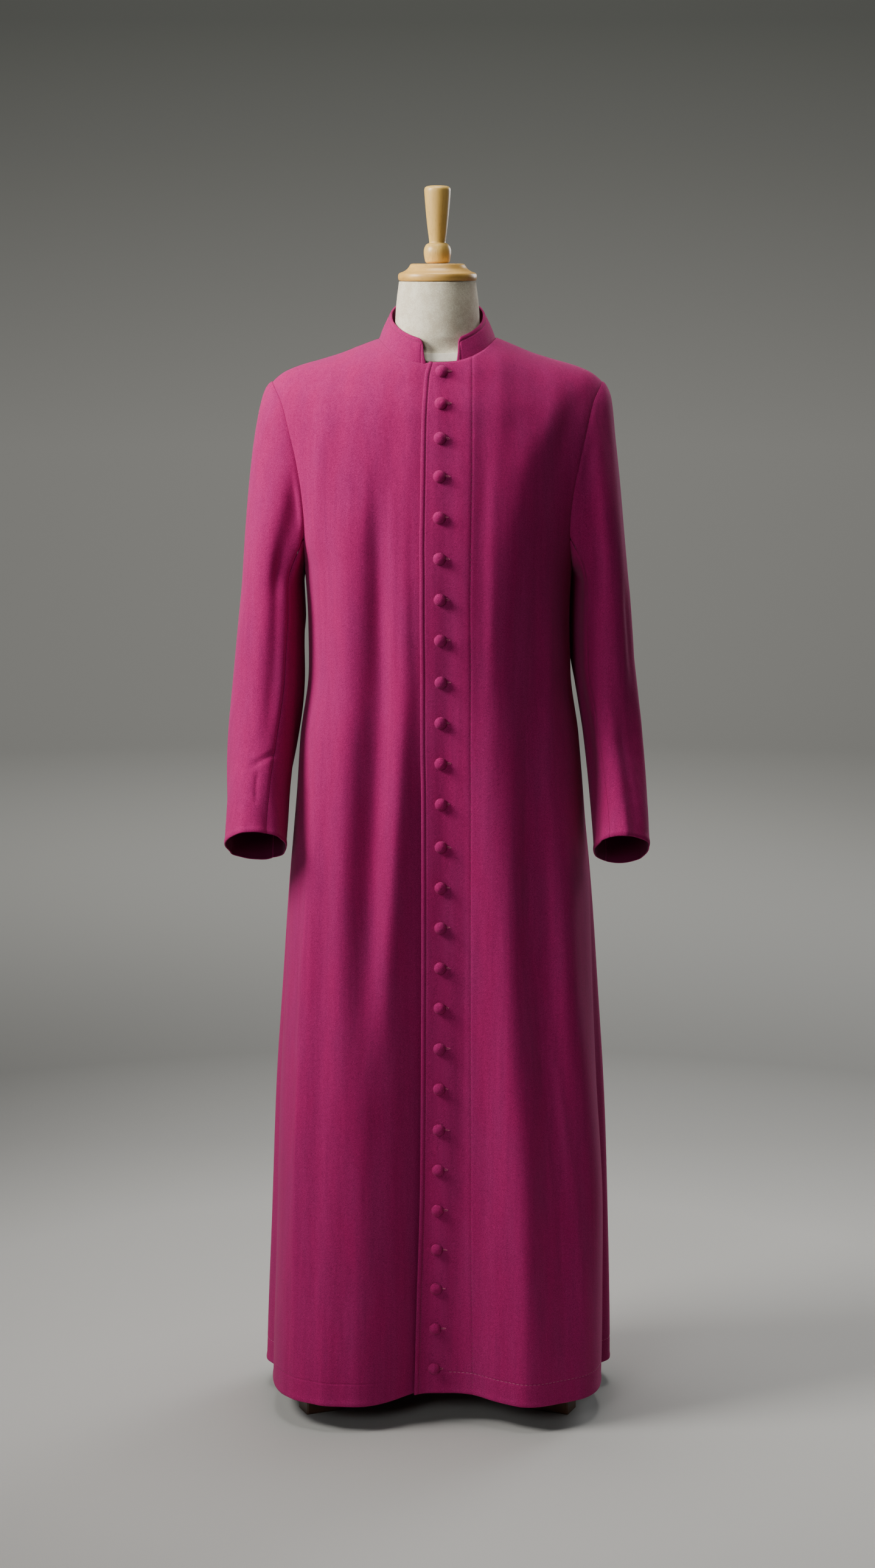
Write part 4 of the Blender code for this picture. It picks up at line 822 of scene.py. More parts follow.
def edge_distance(points, side):
    """Distance along the grid from one of its sides: top, bottom, first or last."""
    axis = 0 if side in ("top", "bottom") else 1
    steps = np.linalg.norm(np.diff(points, axis=axis), axis=-1)
    nothing = np.zeros_like(np.take(steps, [0], axis=axis))
    from_far_end = side in ("bottom", "last")
    if from_far_end:
        steps = np.flip(steps, axis)
    distance = np.cumsum(np.concatenate([nothing, steps], axis=axis), axis=axis)
    return np.flip(distance, axis) if from_far_end else distance


def roll_seams(points, inside, sides, depth=ROLL_DEPTH):
    """Cloth dips towards a seam: it goes in by a bell of the distance from each sewn side."""
    normal = grid_normals(points, inside)
    for side in sides:
        away = edge_distance(points, side) / ROLL_WIDTH
        points = points - normal * (depth * np.exp(-away**2))[..., None]
    return points


def dip_at_collar(points):
    """The panel's top edge dips under the collar, all round the neckline but not along the shoulder seam."""
    away = edge_distance(points, "top") / COLLAR_DIP_WIDTH
    on_neck = np.clip((NECK_HALF_WIDTH - 0.004 - np.abs(points[:1, :, 0])) / 0.012, 0, 1)
    depth = COLLAR_DIP * on_neck * np.exp(-away**2)
    return points - grid_normals(points, body_axis(points)) * depth[..., None]


def press_hem(points, inside):
    """The turned-up hem: a faint groove along its row of stitches and a soft fullness at the folded edge."""
    away = edge_distance(points, "bottom")
    groove = -HEM_GROOVE * np.exp(-((away - HEM_ROW) / GROOVE_WIDTH) ** 2)
    fullness = HEM_FULLNESS * np.exp(-((away - FULLNESS_IN) / FULLNESS_WIDTH) ** 2)
    return points + grid_normals(points, inside) * (groove + fullness)[..., None]


def body_axis(points):
    """The upright line inside the body, at each point's height."""
    return points * [0, 0, 1]


def part_at_seams(points, back):
    """Draw a panel back from the shoulder and side seams by the width of the seam's gap."""
    near_seam = np.clip(1 - np.abs(points[..., 1]) / SEAM_EASE, 0, 1)
    points[..., 1] += (1 if back else -1) * SEAM_SHIFT * near_seam
    return points


wool = wool_finish("wool_magenta")
upper_rows = np.sqrt(stretches(0, (0.012, 6), (0.06, 8), (1.0, 62)))
lower_rows = 1 + stretches(0, (0.955, 178), (0.966, 4), (0.979, 16), (0.993, 8), (1.0, 9))[1:]
panel_rows = np.concatenate([upper_rows, lower_rows])

across, down = np.meshgrid(stretches(0, (1, 16), (2, 26), (3, 14), (4, 2)), panel_rows)
lap_top = lap_x(across, np.full_like(across, NECKLINE_LEVEL))
lap_height = below_top(neckline_height(neck_turn(lap_top), False), down)
lap_out = lap_x(across, lap_height)
across, down = np.meshgrid(stretches(0, (0.94, 74), (0.985, 7), (1.0, 7))[1:], panel_rows)
rest_out, rest_height = half_panel(across, down, 1, False, curve_through([(0.0, LAP_END), (1.6, LAP_END)]))
front_x = np.concatenate([lap_out, rest_out], axis=1)
front_z = np.concatenate([lap_height, rest_height], axis=1)
left_points = part_at_seams(body_point(front_x, front_z, False, placket_lift(front_x, front_z)), False)
left_points = dip_at_collar(roll_seams(left_points, body_axis(left_points), ["last"], ARMHOLE_ROLL))
left_points = lift_hem(press_hem(left_points, body_axis(left_points)), front_x)
front_left = cloth_shell("front_left_wool", left_points, body_axis(left_points), WALL, wool)

lap_share, down = np.meshgrid(stretches(0, (1.0, 10))[:-1], panel_rows)
under_top = UNDERLAP_EDGE + (front_edge(NECKLINE_LEVEL) - UNDERLAP_EDGE) * lap_share
lap_height = below_top(neckline_height(neck_turn(under_top), False), down)
lap_out = UNDERLAP_EDGE + (front_edge(lap_height) - UNDERLAP_EDGE) * lap_share
across, down = np.meshgrid(stretches(0, (0.94, 84), (0.985, 7), (1.0, 7)), panel_rows)
rest_out, rest_height = half_panel(across, down, -1, False, front_edge)
front_x = np.concatenate([lap_out, rest_out], axis=1)
front_z = np.concatenate([lap_height, rest_height], axis=1)
right_points = part_at_seams(body_point(front_x, front_z, False, under_dip(front_x, front_z)), False)
right_points = dip_at_collar(roll_seams(right_points, body_axis(right_points), ["last"], ARMHOLE_ROLL))
right_points = lift_hem(press_hem(right_points, body_axis(right_points)), front_x)
front_right = cloth_shell("front_right_wool", right_points, body_axis(right_points), WALL, wool)

for piece, node in ((front_left, "front_left"), (front_right, "front_right")):
    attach(piece, "root")
    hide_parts(node)

# The back. One piece from side seam to side seam, cut with more fullness than the fronts, so that it falls
# in soft flutes below the waist. It is sewn to the fronts at the shoulders and down the sides.
back_columns = stretches(-1, (-0.985, 6), (-0.93, 7), (0.93, 130), (0.985, 7), (1.0, 6))
across, down = np.meshgrid(back_columns, panel_rows)
middle = curve_through([(0.0, 1e-6), (1.6, 1e-6)])
back_out, back_height = half_panel(np.abs(across), down, 1, True, middle)
back_points = part_at_seams(body_point(np.sign(across) * back_out, back_height, True), True)
back_points = dip_at_collar(roll_seams(back_points, body_axis(back_points), ["first", "last"], ARMHOLE_ROLL))
back_points = press_hem(back_points, body_axis(back_points))
back = cloth_shell("back_wool", back_points, body_axis(back_points), WALL, wool)
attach(back, "root")
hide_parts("back")

# The sleeves. Each has a top sleeve and a narrower under sleeve, eased into the armhole so that the head
# stands a little full. They hang straight, swing forward below the elbow and end in open, turned cuffs.
SleeveSection = namedtuple("SleeveSection", "height inner outer middle half_depth tilt slimmer_inside "
                                            "slimmer_outside")
SLEEVE = [
    SleeveSection(1.160, 0.1850, 0.2624, -0.007, 0.0640, 0, 0.0000, 0.0030),
    SleeveSection(1.100, 0.1830, 0.2687, -0.006, 0.0665, 1, 0.0002, 0.0036),
    SleeveSection(1.042, 0.1830, 0.2742, -0.006, 0.0660, 4, 0.0008, 0.0044),
    SleeveSection(1.000, 0.1872, 0.2784, -0.009, 0.0645, 8, 0.0030, 0.0046),
    SleeveSection(0.958, 0.1935, 0.2818, -0.017, 0.0625, 12, 0.0038, 0.0042),
    SleeveSection(0.916, 0.1993, 0.2841, -0.029, 0.0605, 17, 0.0036, 0.0034),
    SleeveSection(0.874, 0.2050, 0.2860, -0.045, 0.0590, 22, 0.0026, 0.0020),
    SleeveSection(0.835, 0.2078, 0.2876, -0.060, 0.0575, 27, 0.0030, 0.0008),
    SleeveSection(0.806, 0.2092, 0.2884, -0.072, 0.0565, 30, 0.0032, 0.0006),
]
LEFT_CUFF_DROP = 0.005
CAP_SHARE = 0.36
ARMHOLE_GAP = 0.0002
UNDERARM_OVERLAP = 0.0012
SLEEVE_SEAM_GAP = 0.0019
SLEEVE_SEAM_ROLL = 0.0006
SLEEVE_RADIUS = 0.050
HEAD_OUT = 0.0010
HEAD_UP = 0.0010
HEAD_SINK = 0.0008
CUFF_FULLNESS = 0.0008
CREASE_EASE = 0.012
FRONT_SEAM = [(0.0, 134.0), (0.36, 128.0), (1.0, 120.0)]
RIGHT_SEAM_TURN = [(0.0, 0.0), (0.36, -4.0), (0.60, -7.0), (1.0, -5.0)]
BACK_SEAM = [(0.0, 226.0), (0.36, 232.0), (1.0, 240.0)]
# Creases of the sleeves: path as (share down, degrees from the outer side, forwards), rise as (share down,
# metres), and half width in degrees
Crease = namedtuple("Crease", "side path rise half_width")
SLEEVE_CREASES = [
    Crease(-1, [(0.06, 100), (0.30, 106)],
           [(0.02, 0.0), (0.12, -0.0050), (0.28, -0.0040), (0.40, 0.0)], 15),
    Crease(-1, [(0.10, 132), (0.36, 134)], [(0.04, 0.0), (0.14, 0.0030), (0.26, 0.0030), (0.40, 0.0)], 11),
    Crease(-1, [(0.10, 205), (0.50, 208)], [(0.06, 0.0), (0.20, 0.0070), (0.44, 0.0070), (0.52, 0.0)], 22),
    Crease(-1, [(0.10, 100), (0.40, 104), (0.80, 98)],
           [(0.20, 0.0), (0.34, -0.0030), (0.60, -0.0022), (0.84, 0.0)], 10),
    Crease(-1, [(0.34, 118), (0.90, 114)], [(0.28, 0.0), (0.42, 0.0048), (0.70, 0.0036), (0.98, 0.0)], 20),
    Crease(-1, [(0.40, 62), (0.70, 56)], [(0.34, 0.0), (0.50, -0.0016), (0.62, -0.0014), (0.76, 0.0)], 15),
    Crease(-1, [(0.798, 114), (0.831, 82)],
           [(0.790, 0.0), (0.806, -0.0026), (0.826, -0.0020), (0.840, 0.0)], 8),
    Crease(-1, [(0.85, 91), (0.93, 92)], [(0.842, 0.0), (0.87, -0.0018), (0.91, -0.0014), (0.935, 0.0)], 4),
    Crease(-1, [(0.10, 30), (0.60, 22)], [(0.06, 0.0), (0.26, 0.0012), (0.48, 0.0012), (0.66, 0.0)], 16),
    Crease(1, [(0.04, 86), (0.22, 96), (0.44, 102)],
           [(0.02, 0.0), (0.12, -0.0022), (0.28, -0.0018), (0.46, 0.0)], 14),
    Crease(1, [(0.08, 158), (0.60, 156), (1.0, 150)],
           [(0.10, 0.0), (0.30, -0.0075), (0.62, -0.0080), (1.0, -0.0030)], 24),
    Crease(1, [(0.06, 60), (0.62, 56)], [(0.06, 0.0), (0.24, 0.0066), (0.56, 0.0060), (0.74, 0.0)], 25),
    Crease(1, [(0.10, 205), (0.62, 208)], [(0.06, 0.0), (0.20, 0.0080), (0.50, 0.0085), (0.60, 0.0)], 22),
    Crease(1, [(0.08, 4), (0.40, 0)], [(0.06, 0.0), (0.16, -0.0045), (0.26, -0.0035), (0.38, 0.0)], 34),
    Crease(1, [(0.38, 46), (0.60, 44)], [(0.34, 0.0), (0.44, -0.0016), (0.54, -0.0012), (0.62, 0.0)], 6),
    Crease(1, [(0.62, 74), (1.0, 66)], [(0.58, 0.0), (0.74, -0.0036), (0.88, -0.0036), (1.0, -0.0016)], 15),
    Crease(1, [(0.60, 28), (1.0, 34)], [(0.54, 0.0), (0.72, 0.0046), (0.90, 0.0050), (1.0, 0.0020)], 15),
    Crease(1, [(0.30, 28), (0.62, 24)], [(0.24, 0.0), (0.40, 0.0016), (0.54, 0.0014), (0.66, 0.0)], 14),
    Crease(1, [(0.74, 96), (0.80, 62)], [(0.73, 0.0), (0.77, -0.0020), (0.82, 0.0)], 20),
    Crease(-1, [(0.36, 262), (0.80, 272)],
           [(0.30, 0.0), (0.48, -0.0022), (0.64, -0.0020), (0.84, 0.0)], 14),
    Crease(1, [(0.34, 268), (0.78, 258)], [(0.28, 0.0), (0.46, -0.0020), (0.62, -0.0022), (0.82, 0.0)], 14),
    Crease(-1, [(0.44, 312), (0.56, 282)], [(0.42, 0.0), (0.50, -0.0022), (0.57, 0.0)], 26),
    Crease(1, [(0.46, 306), (0.58, 286)], [(0.43, 0.0), (0.51, -0.0020), (0.59, 0.0)], 26),
]
# Soft corners of the open cuffs: side, degrees
CUFF_CORNERS = [(-1, 320), (-1, 257), (-1, 220), (-1, 131), (-1, 68), (1, 245), (1, 314), (1, 139),
                (1, 84), (1, 21)]
SLEEVE_CREASES += [Crease(side, [(0.0, place), (1.0, place)], [(0.90, 0.0), (1.0, 0.0024)], 11)
                   for side, place in CUFF_CORNERS]


def armhole_loop(turn, side):
    """The cut edge of the armhole at an angle from its top, forwards; the sleeve is set onto it."""
    middle_height = (SHOULDER_HEIGHT + UNDERARM_HEIGHT) / 2
    reach = (SHOULDER_HEIGHT - UNDERARM_HEIGHT) / 2
    height = middle_height + reach * np.cos(turn)
    behind = np.sin(turn) < 0
    out = np.where(behind, armhole_back(height), armhole_front(height))
    loop = body_point(side * out, height, behind)
    loop[..., 0] += side * (ARMHOLE_GAP + HEAD_OUT * np.clip(np.cos(turn), 0, 1) ** 3)
    loop[..., 0] -= side * UNDERARM_OVERLAP * np.clip(-np.cos(turn), 0, 1)
    loop[..., 2] += HEAD_UP * np.cos(turn) - HEAD_SINK
    return loop


def sleeve_ring(turn, height, side):
    """A section of the sleeve: an oval across it, tilted so that its front is higher."""
    inner = column(SLEEVE, "inner")(height) + side * column(SLEEVE, "slimmer_inside")(height)
    outer = column(SLEEVE, "outer")(height) - side * column(SLEEVE, "slimmer_outside")(height)
    tilt = np.radians(column(SLEEVE, "tilt")(height))
    x = (inner + outer) / 2 + (outer - inner) / 2 * np.cos(turn)
    forward = column(SLEEVE, "half_depth")(height) * np.sin(turn)
    y = column(SLEEVE, "middle")(height) - forward * np.cos(tilt)
    return np.stack([side * x, y, height + forward * np.sin(tilt)], axis=-1)


def sleeve_point(turn, along, side):
    """The sleeve's outer face: a cap, as a cubic from the armhole into the upper arm, and then the tube."""
    top, cuff = SLEEVE[0].height, SLEEVE[-1].height - (LEFT_CUFF_DROP if side > 0 else 0)
    t = np.clip(along / CAP_SHARE, 0, 1)[..., None]
    start = armhole_loop(turn, side)
    end = sleeve_ring(turn, np.full_like(turn, top), side)
    high = (1 + np.cos(turn)) / 2
    out = np.stack([side * (0.35 + 0.52 * high), -0.15 * np.sin(turn), -0.9 + 0.55 * high], axis=-1)
    leave = out * ((0.010 + 0.060 * high**1.3) * 1.25)[..., None]
    arrive = np.stack([side * 0.06 * np.ones_like(turn), np.zeros_like(turn), -np.ones_like(turn)], axis=-1)
    arrive = arrive * (0.020 + 0.26 * high)[..., None]
    cap_points = ((2 * t**3 - 3 * t**2 + 1) * start + (t**3 - 2 * t**2 + t) * leave
                  + (3 * t**2 - 2 * t**3) * end + (t**3 - t**2) * arrive)
    share = np.clip((along - CAP_SHARE) / (1 - CAP_SHARE), 0, 1)
    tube = sleeve_ring(turn, top + (cuff - top) * share, side)
    return np.where((along < CAP_SHARE)[..., None], cap_points, tube)


def smooth_down(points, times):
    """Each row between the first and the last moves halfway to the middle of its neighbours, times over."""
    for _ in range(times):
        middle_rows = (points[:-2] + points[2:]) / 2
        points = np.concatenate([points[:1], points[1:-1] * 0.5 + middle_rows * 0.5, points[-1:]])
    return points


def sleeve_piece(name, side, under):
    """Top sleeve or under sleeve, as a grid of angle round the arm by share down it."""
    columns = stretches(0, (0.02, 6), (0.98, 34 if under else 74), (1.0, 6))
    share_down = stretches(0, (0.008, 5), (0.985, 128), (1.0, 8))
    share_across, along = np.meshgrid(columns, share_down)
    front_seam = np.radians(curve_through(FRONT_SEAM)(along))
    if side < 0:
        front_seam = front_seam + np.radians(curve_through(RIGHT_SEAM_TURN)(along))
    back_seam = np.radians(curve_through(BACK_SEAM)(along))
    gap = SLEEVE_SEAM_GAP / 2 / SLEEVE_RADIUS
    if under:
        turn = front_seam + gap + (back_seam - front_seam - 2 * gap) * share_across
    else:
        turn = back_seam + gap + (front_seam + 2 * math.pi - back_seam - 2 * gap) * share_across
    points = smooth_down(sleeve_point(turn, along, side), 10)
    arm_axis = np.broadcast_to(points.mean(axis=1, keepdims=True), points.shape)
    if under:
        arm_axis = arm_axis + [side * 0.03, 0, 0]
    rise = wave_rise(points[..., 0] + points[..., 1], points[..., 2])
    for crease in SLEEVE_CREASES:
        if crease.side == side:
            degrees = (np.degrees(turn) - curve_through(crease.path)(along) + 180) % 360 - 180
            rise = rise + curve_through(crease.rise)(along) * np.exp(-(degrees / crease.half_width) ** 2)
    from_cuff = edge_distance(points, "bottom")
    rise = rise + CUFF_FULLNESS * np.exp(-((from_cuff - FULLNESS_IN) / FULLNESS_WIDTH) ** 2)
    rise = rise * np.clip(edge_distance(points, "top") / CREASE_EASE, 0, 1)
    points = points + grid_normals(points, arm_axis) * rise[..., None]
    points = roll_seams(points, arm_axis, ["first", "last"], SLEEVE_SEAM_ROLL)
    points = roll_seams(points, arm_axis, ["top"], ARMHOLE_ROLL)
    return cloth_shell(name, points, arm_axis, WALL, wool)


for side, word in ((1, "left"), (-1, "right")):
    for under, part in ((False, "sleeve_top"), (True, "sleeve_under")):
        piece = sleeve_piece(f"{part}_{word}_wool", side, under)
        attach(piece, "root")
        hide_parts(f"{part}_{word}")

# The collar. A plain standing band of the same wool over a stiff interlining, sewn to the neckline and open
# in front, with square corners slightly rounded and a row of stitches 6 mm in from its edge.
COLLAR_WALL = 0.0024
COLLAR_TOP = [(0, 1.4830), (20, 1.4885), (37, 1.4940), (50, 1.4993), (62, 1.5049), (74, 1.5105), (90, 1.5195),
              (106, 1.5265), (140, 1.5380), (180, 1.5430)]
COLLAR_TOP_HALF_WIDTH = 0.0628
COLLAR_TOP_FRONT = 0.0755
COLLAR_TOP_BACK = 0.0515
COLLAR_RIGHT_END = (-11.8, -17.8)
COLLAR_LEFT_END = (19.0, 25.6)
COLLAR_CORNER = 0.007
COLLAR_LENGTH = 0.36
COLLAR_BULGE = 0.0012
COLLAR_ROW = 0.0058
COLLAR_GAP = -0.0008
COLLAR_RIM = 0.0004
FOOT_EVENED_FROM = 0.88
FOOT_EVENED_TIMES = 30

eased, up = np.meshgrid(stretches(0, (0.035, 18), (0.965, 190), (1.0, 18)),
                        stretches(0, (0.10, 4), (0.70, 12), (1.0, 20)))
low_degrees = COLLAR_LEFT_END[0] + (360 + COLLAR_RIGHT_END[0] - COLLAR_LEFT_END[0]) * eased
high_degrees = COLLAR_LEFT_END[1] + (360 + COLLAR_RIGHT_END[1] - COLLAR_LEFT_END[1]) * eased
low, high = np.radians(low_degrees), np.radians(high_degrees)
behind = np.cos(low) < 0
foot = body_point(NECK_HALF_WIDTH * np.sin(low), neckline_height(low, behind), behind)
foot[..., 2] += COLLAR_GAP
for _ in range(FOOT_EVENED_TIMES):
    middle_columns = foot[:, 1:-1] * 0.5 + (foot[:, :-2] + foot[:, 2:]) * 0.25
    evened = np.concatenate([foot[:, :1], middle_columns, foot[:, -1:]], axis=1)
    foot = np.where(np.abs(np.sin(low))[..., None] > FOOT_EVENED_FROM, evened, foot)
head_depth = np.where(np.cos(high) > 0, COLLAR_TOP_FRONT, COLLAR_TOP_BACK)
head_height = curve_through(COLLAR_TOP)(np.degrees(np.arccos(np.clip(np.cos(high), -1, 1))))
cut = np.clip(1 - np.minimum(eased, 1 - eased) * COLLAR_LENGTH / COLLAR_CORNER, 0, 1)
head_height = head_height - COLLAR_CORNER * (1 - np.sqrt(np.clip(1 - cut * cut, 0, 1)))
head = np.stack([COLLAR_TOP_HALF_WIDTH * np.sin(high), -head_depth * np.cos(high), head_height], axis=-1)
collar_points = foot + (head - foot) * up[..., None]
bulge = COLLAR_BULGE * np.sin(math.pi * up)
collar_points[..., 0] += bulge * np.sin(low)
collar_points[..., 1] -= bulge * np.cos(low)
collar_axis = collar_points * [0, 0, 1]
from_edge = np.minimum(edge_distance(collar_points, "bottom"),
                       np.minimum(edge_distance(collar_points, "first"), edge_distance(collar_points, "last")))
rise = (COLLAR_RIM * np.exp(-((from_edge - RIM_IN) / RIM_WIDTH) ** 2)
        - ROW_DEPTH * np.exp(-((from_edge - COLLAR_ROW) / ROW_WIDTH) ** 2))
collar_points = collar_points + grid_normals(collar_points, collar_axis) * rise[..., None]
collar = cloth_shell("collar_wool", collar_points, collar_axis, COLLAR_WALL, wool)
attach(collar, "root")
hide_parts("collar")

# The buttons. Twenty-six small domes covered in the garment's own wool, sewn in one long row and done up.
# Each wears a few tiny gathers at its rim, where the cover is drawn in under it.
BUTTON_RADIUS = 0.0084
BUTTON_RISE = 0.0062
BUTTON_SEAT = 0.0002
BUTTON_HEIGHTS = [
    1.4454, 1.4043, 1.3597, 1.3104, 1.2567, 1.2029, 1.1488, 1.0944, 1.0377, 0.9829, 0.9278, 0.8725, 0.8140,
    0.7580, 0.7029, 0.6475, 0.5918, 0.5349, 0.4787, 0.4213, 0.3646, 0.3077, 0.2517, 0.1954, 0.1378, 0.0799,
]
BUTTON_LINE = [(0.080, -0.0068), (0.250, -0.0036), (0.480, -0.0018), (0.900, 0.0006), (1.310, 0.0023),
               (1.450, 0.0051)]
BUTTON_GATHERS = 13
BUTTON_AROUND = 48
BUTTON_PROFILE = [(0.12, 1.0), (0.45, 0.93), (0.78, 0.68), (0.97, 0.34), (1.0, 0.14), (0.92, 0.02), (0.5, 0.0)]
button_line = curve_through(BUTTON_LINE)


def placket_frame(x, height):
    """On the overlapping front at x and height: the point, and unit vectors across, up and out of it."""
    lift = placket_lift(x, height)
    step = 0.002
    point = body_point(x, height, False, lift)
    across = (body_point(x + step, height, False, placket_lift(x + step, height))
              - body_point(x - step, height, False, placket_lift(x - step, height)))
    upward = (body_point(x, height + step, False, placket_lift(x, height + step))
              - body_point(x, height - step, False, placket_lift(x, height - step)))
    outward = np.cross(across, upward)
    outward /= np.linalg.norm(outward, axis=-1, keepdims=True)
    across /= np.linalg.norm(across, axis=-1, keepdims=True)
    return point, across, np.cross(outward, across), outward


button_z = np.array(BUTTON_HEIGHTS)
button_x = button_line(button_z)
seat, seat_across, seat_up, seat_out = placket_frame(button_x, button_z)
dome_profile = rounded(BUTTON_PROFILE, 2)
dome_turn = np.linspace(0, 2 * math.pi, BUTTON_AROUND, endpoint=False)
radius = dome_profile[:, :1] * BUTTON_RADIUS * np.ones(BUTTON_AROUND)
rise = dome_profile[:, 1:] * BUTTON_RISE * np.ones(BUTTON_AROUND)
quads, corners = tube_faces(len(dome_profile), BUTTON_AROUND)
for number in range(len(BUTTON_HEIGHTS)):
    gathers = np.sin(BUTTON_GATHERS * dome_turn + 1.7 * number) * np.sin(3 * dome_turn + number)
    crimp = 1 + 0.018 * gathers * np.exp(-((dome_profile[:, 1:] - 0.10) / 0.16) ** 2)
    side_way = (radius * crimp * np.cos(dome_turn))[..., None] * seat_across[number]
    up_way = (radius * crimp * np.sin(dome_turn))[..., None] * seat_up[number]
    tilt = 1 + 0.05 * math.sin(2.3 * number) * np.cos(dome_turn + number)
    out_way = (rise * tilt + BUTTON_SEAT)[..., None] * seat_out[number]
    dome = seat[number] + side_way + up_way + out_way
    poles = np.array([dome[0].mean(axis=0) + seat_out[number] * BUTTON_RISE * 0.004, dome[-1].mean(axis=0)])
    dome_points = np.concatenate([dome.reshape(-1, 3), poles])
    button = closed_object(f"button_cover_{number + 1:02d}", dome_points, quads, corners, wool)
    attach(button, "root")
    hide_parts(f"button_{number + 1:02d}")

# The buttonholes and the rows of stitches. Each hole is worked over with a paler silk twist and shows as a
# short loop beside its button; the edge, the facing, the collar and the hem are sewn by hand or machine.
THREAD_RADIUS = 0.00024
TWIST_RADIUS = 0.00042
HOLE_NEAR = 0.0070
HOLE_LENGTH = 0.0066
HOLE_HALF_WIDTH = 0.0008
STITCH_LENGTH = 0.0026
STITCH_GAP = 0.0007
FACING_STITCH_LENGTH = 0.0028
FACING_STITCH_GAP = 0.0042
HEM_STITCH_LENGTH = 0.0052
TWIST_COLOUR = ((0.42, 0.040, 0.140, 1), (0.66, 0.120, 0.270, 1))
THREAD_COLOUR = ((0.16, 0.010, 0.055, 1), (0.36, 0.030, 0.130, 1))
HEM_THREAD_COLOUR = ((0.45, 0.11, 0.22, 1), (0.72, 0.28, 0.42, 1))


def thread_finish(name, dark, pale):
    """Spun thread: fine noise between two tones, with a dull shine."""
    material, add, wire = new_finish(name)
    place = add("TexCoord", {})["Object"]
    ply = add("TexNoise", {"Vector": place, "Scale": 2400.0, "Detail": 2.0})[0]
    bump = add("Bump", {"Height": ply, "Strength": 0.4, "Distance": 0.0002})["Normal"]
    wire(Base_Color=between(add, ply, 0.35, 0.65, dark, pale), Roughness=0.6, Normal=bump, Sheen_Weight=0.2)
    return material


def thread_object(name, paths, out, radius, material):
    """Many short threads as one mesh. paths is (threads, points, 3) and out the way each point's cloth
    faces: a ring of five points round each path point, drawn in at both ends to close on its last point."""
    along = np.gradient(paths, axis=1)
    along /= np.linalg.norm(along, axis=-1, keepdims=True)
    beside = np.cross(along, out)
    beside /= np.linalg.norm(beside, axis=-1, keepdims=True)
    above = np.cross(beside, along)
    turn = np.linspace(0, 2 * math.pi, 5, endpoint=False)
    taper = np.ones(paths.shape[1])
    taper[[0, -1]] = 0.45
    size = (radius * taper)[None, :, None, None]
    rings = (paths[:, :, None] + size * (beside[:, :, None] * np.cos(turn)[:, None]
                                         + above[:, :, None] * np.sin(turn)[:, None]))
    count, steps = paths.shape[:2]
    points = np.concatenate([rings.reshape(count, -1, 3), paths[:, :1], paths[:, -1:]], axis=1)
    quads, corners = tube_faces(steps, 5, count)
    return closed_object(name, points.reshape(-1, 3), quads, corners, material)


def stitch_paths(line, out, length, gap, sink):
    """Stitches laid end to end along a line of points: each rises a little from the cloth and dives back in.
    The line is measured along its length, and each stitch samples it at five places."""
    run = np.concatenate([[0], np.cumsum(np.linalg.norm(np.diff(line, axis=0), axis=1))])
    starts = np.arange(gap, run[-1] - length - gap, length + gap)
    places = starts[:, None] + np.linspace(0, length, 5)
    path = np.stack([np.interp(places, run, line[:, k]) for k in range(3)], axis=-1)
    face = np.stack([np.interp(places, run, out[:, k]) for k in range(3)], axis=-1)
    face /= np.linalg.norm(face, axis=-1, keepdims=True)
    arch = np.array([-1.0, 0.35, 0.6, 0.35, -1.0]) * sink
    return path + face * arch[:, None], face


def sewn_rows(name, rows, radius, material):
    """Rows of stitches, each as its paths and the ways they face, joined into one object."""
    paths = np.concatenate([row[0] for row in rows])
    faces = np.concatenate([row[1] for row in rows])
    return thread_object(name, paths, faces, radius, material)


# Buttonholes
loop_share = np.linspace(0, 1, 15)
loop_angle = math.pi * (0.04 + 1.92 * loop_share)
number = np.arange(len(BUTTON_HEIGHTS))[:, None]
slant = np.radians(6.0 * np.sin(1.9 * number + 0.6) - 5.0)
reach = HOLE_LENGTH * (1 + 0.18 * np.sin(2.7 * number))
along_hole = reach * (0.5 - 0.5 * np.cos(loop_angle))
across_hole = -HOLE_HALF_WIDTH * np.sin(loop_angle) * (1 + 0.3 * np.sin(1.3 * number))
hole_x = button_x[:, None] + HOLE_NEAR + along_hole * np.cos(slant) - across_hole * np.sin(slant)
hole_z = button_z[:, None] + 0.0006 + along_hole * np.sin(slant) + across_hole * np.cos(slant)
hole_point, _, _, hole_out = placket_frame(hole_x, hole_z)
twist = thread_finish("wool_buttonhole_twist", *TWIST_COLOUR)
hole_path = hole_point + hole_out * TWIST_RADIUS * 0.7
holes = thread_object("buttonhole_threads", hole_path, hole_out, TWIST_RADIUS, twist)

# Edge and facing rows
row_z = np.linspace(HEM_HEIGHT + 0.004, 1.4545, 900)
edge_line, _, _, edge_out = placket_frame(front_edge(row_z) + EDGE_ROW, row_z)
facing_points, _, _, facing_out = placket_frame(facing_line(row_z), row_z)
collar_out = grid_normals(collar_points, collar_axis)
top_row = np.argmin(np.abs(edge_distance(collar_points, "bottom")[:, 110] - COLLAR_ROW))
near = np.argmin(np.abs(edge_distance(collar_points, "first")[20] - COLLAR_ROW))
far = np.argmin(np.abs(edge_distance(collar_points, "last")[20] - COLLAR_ROW))
collar_line = np.concatenate([collar_points[1:top_row, near], collar_points[top_row, near:far],
                              collar_points[top_row:0:-1, far]])
collar_line_out = np.concatenate([collar_out[1:top_row, near], collar_out[top_row, near:far],
                                  collar_out[top_row:0:-1, far]])
sewing = thread_finish("wool_sewing_thread", *THREAD_COLOUR)
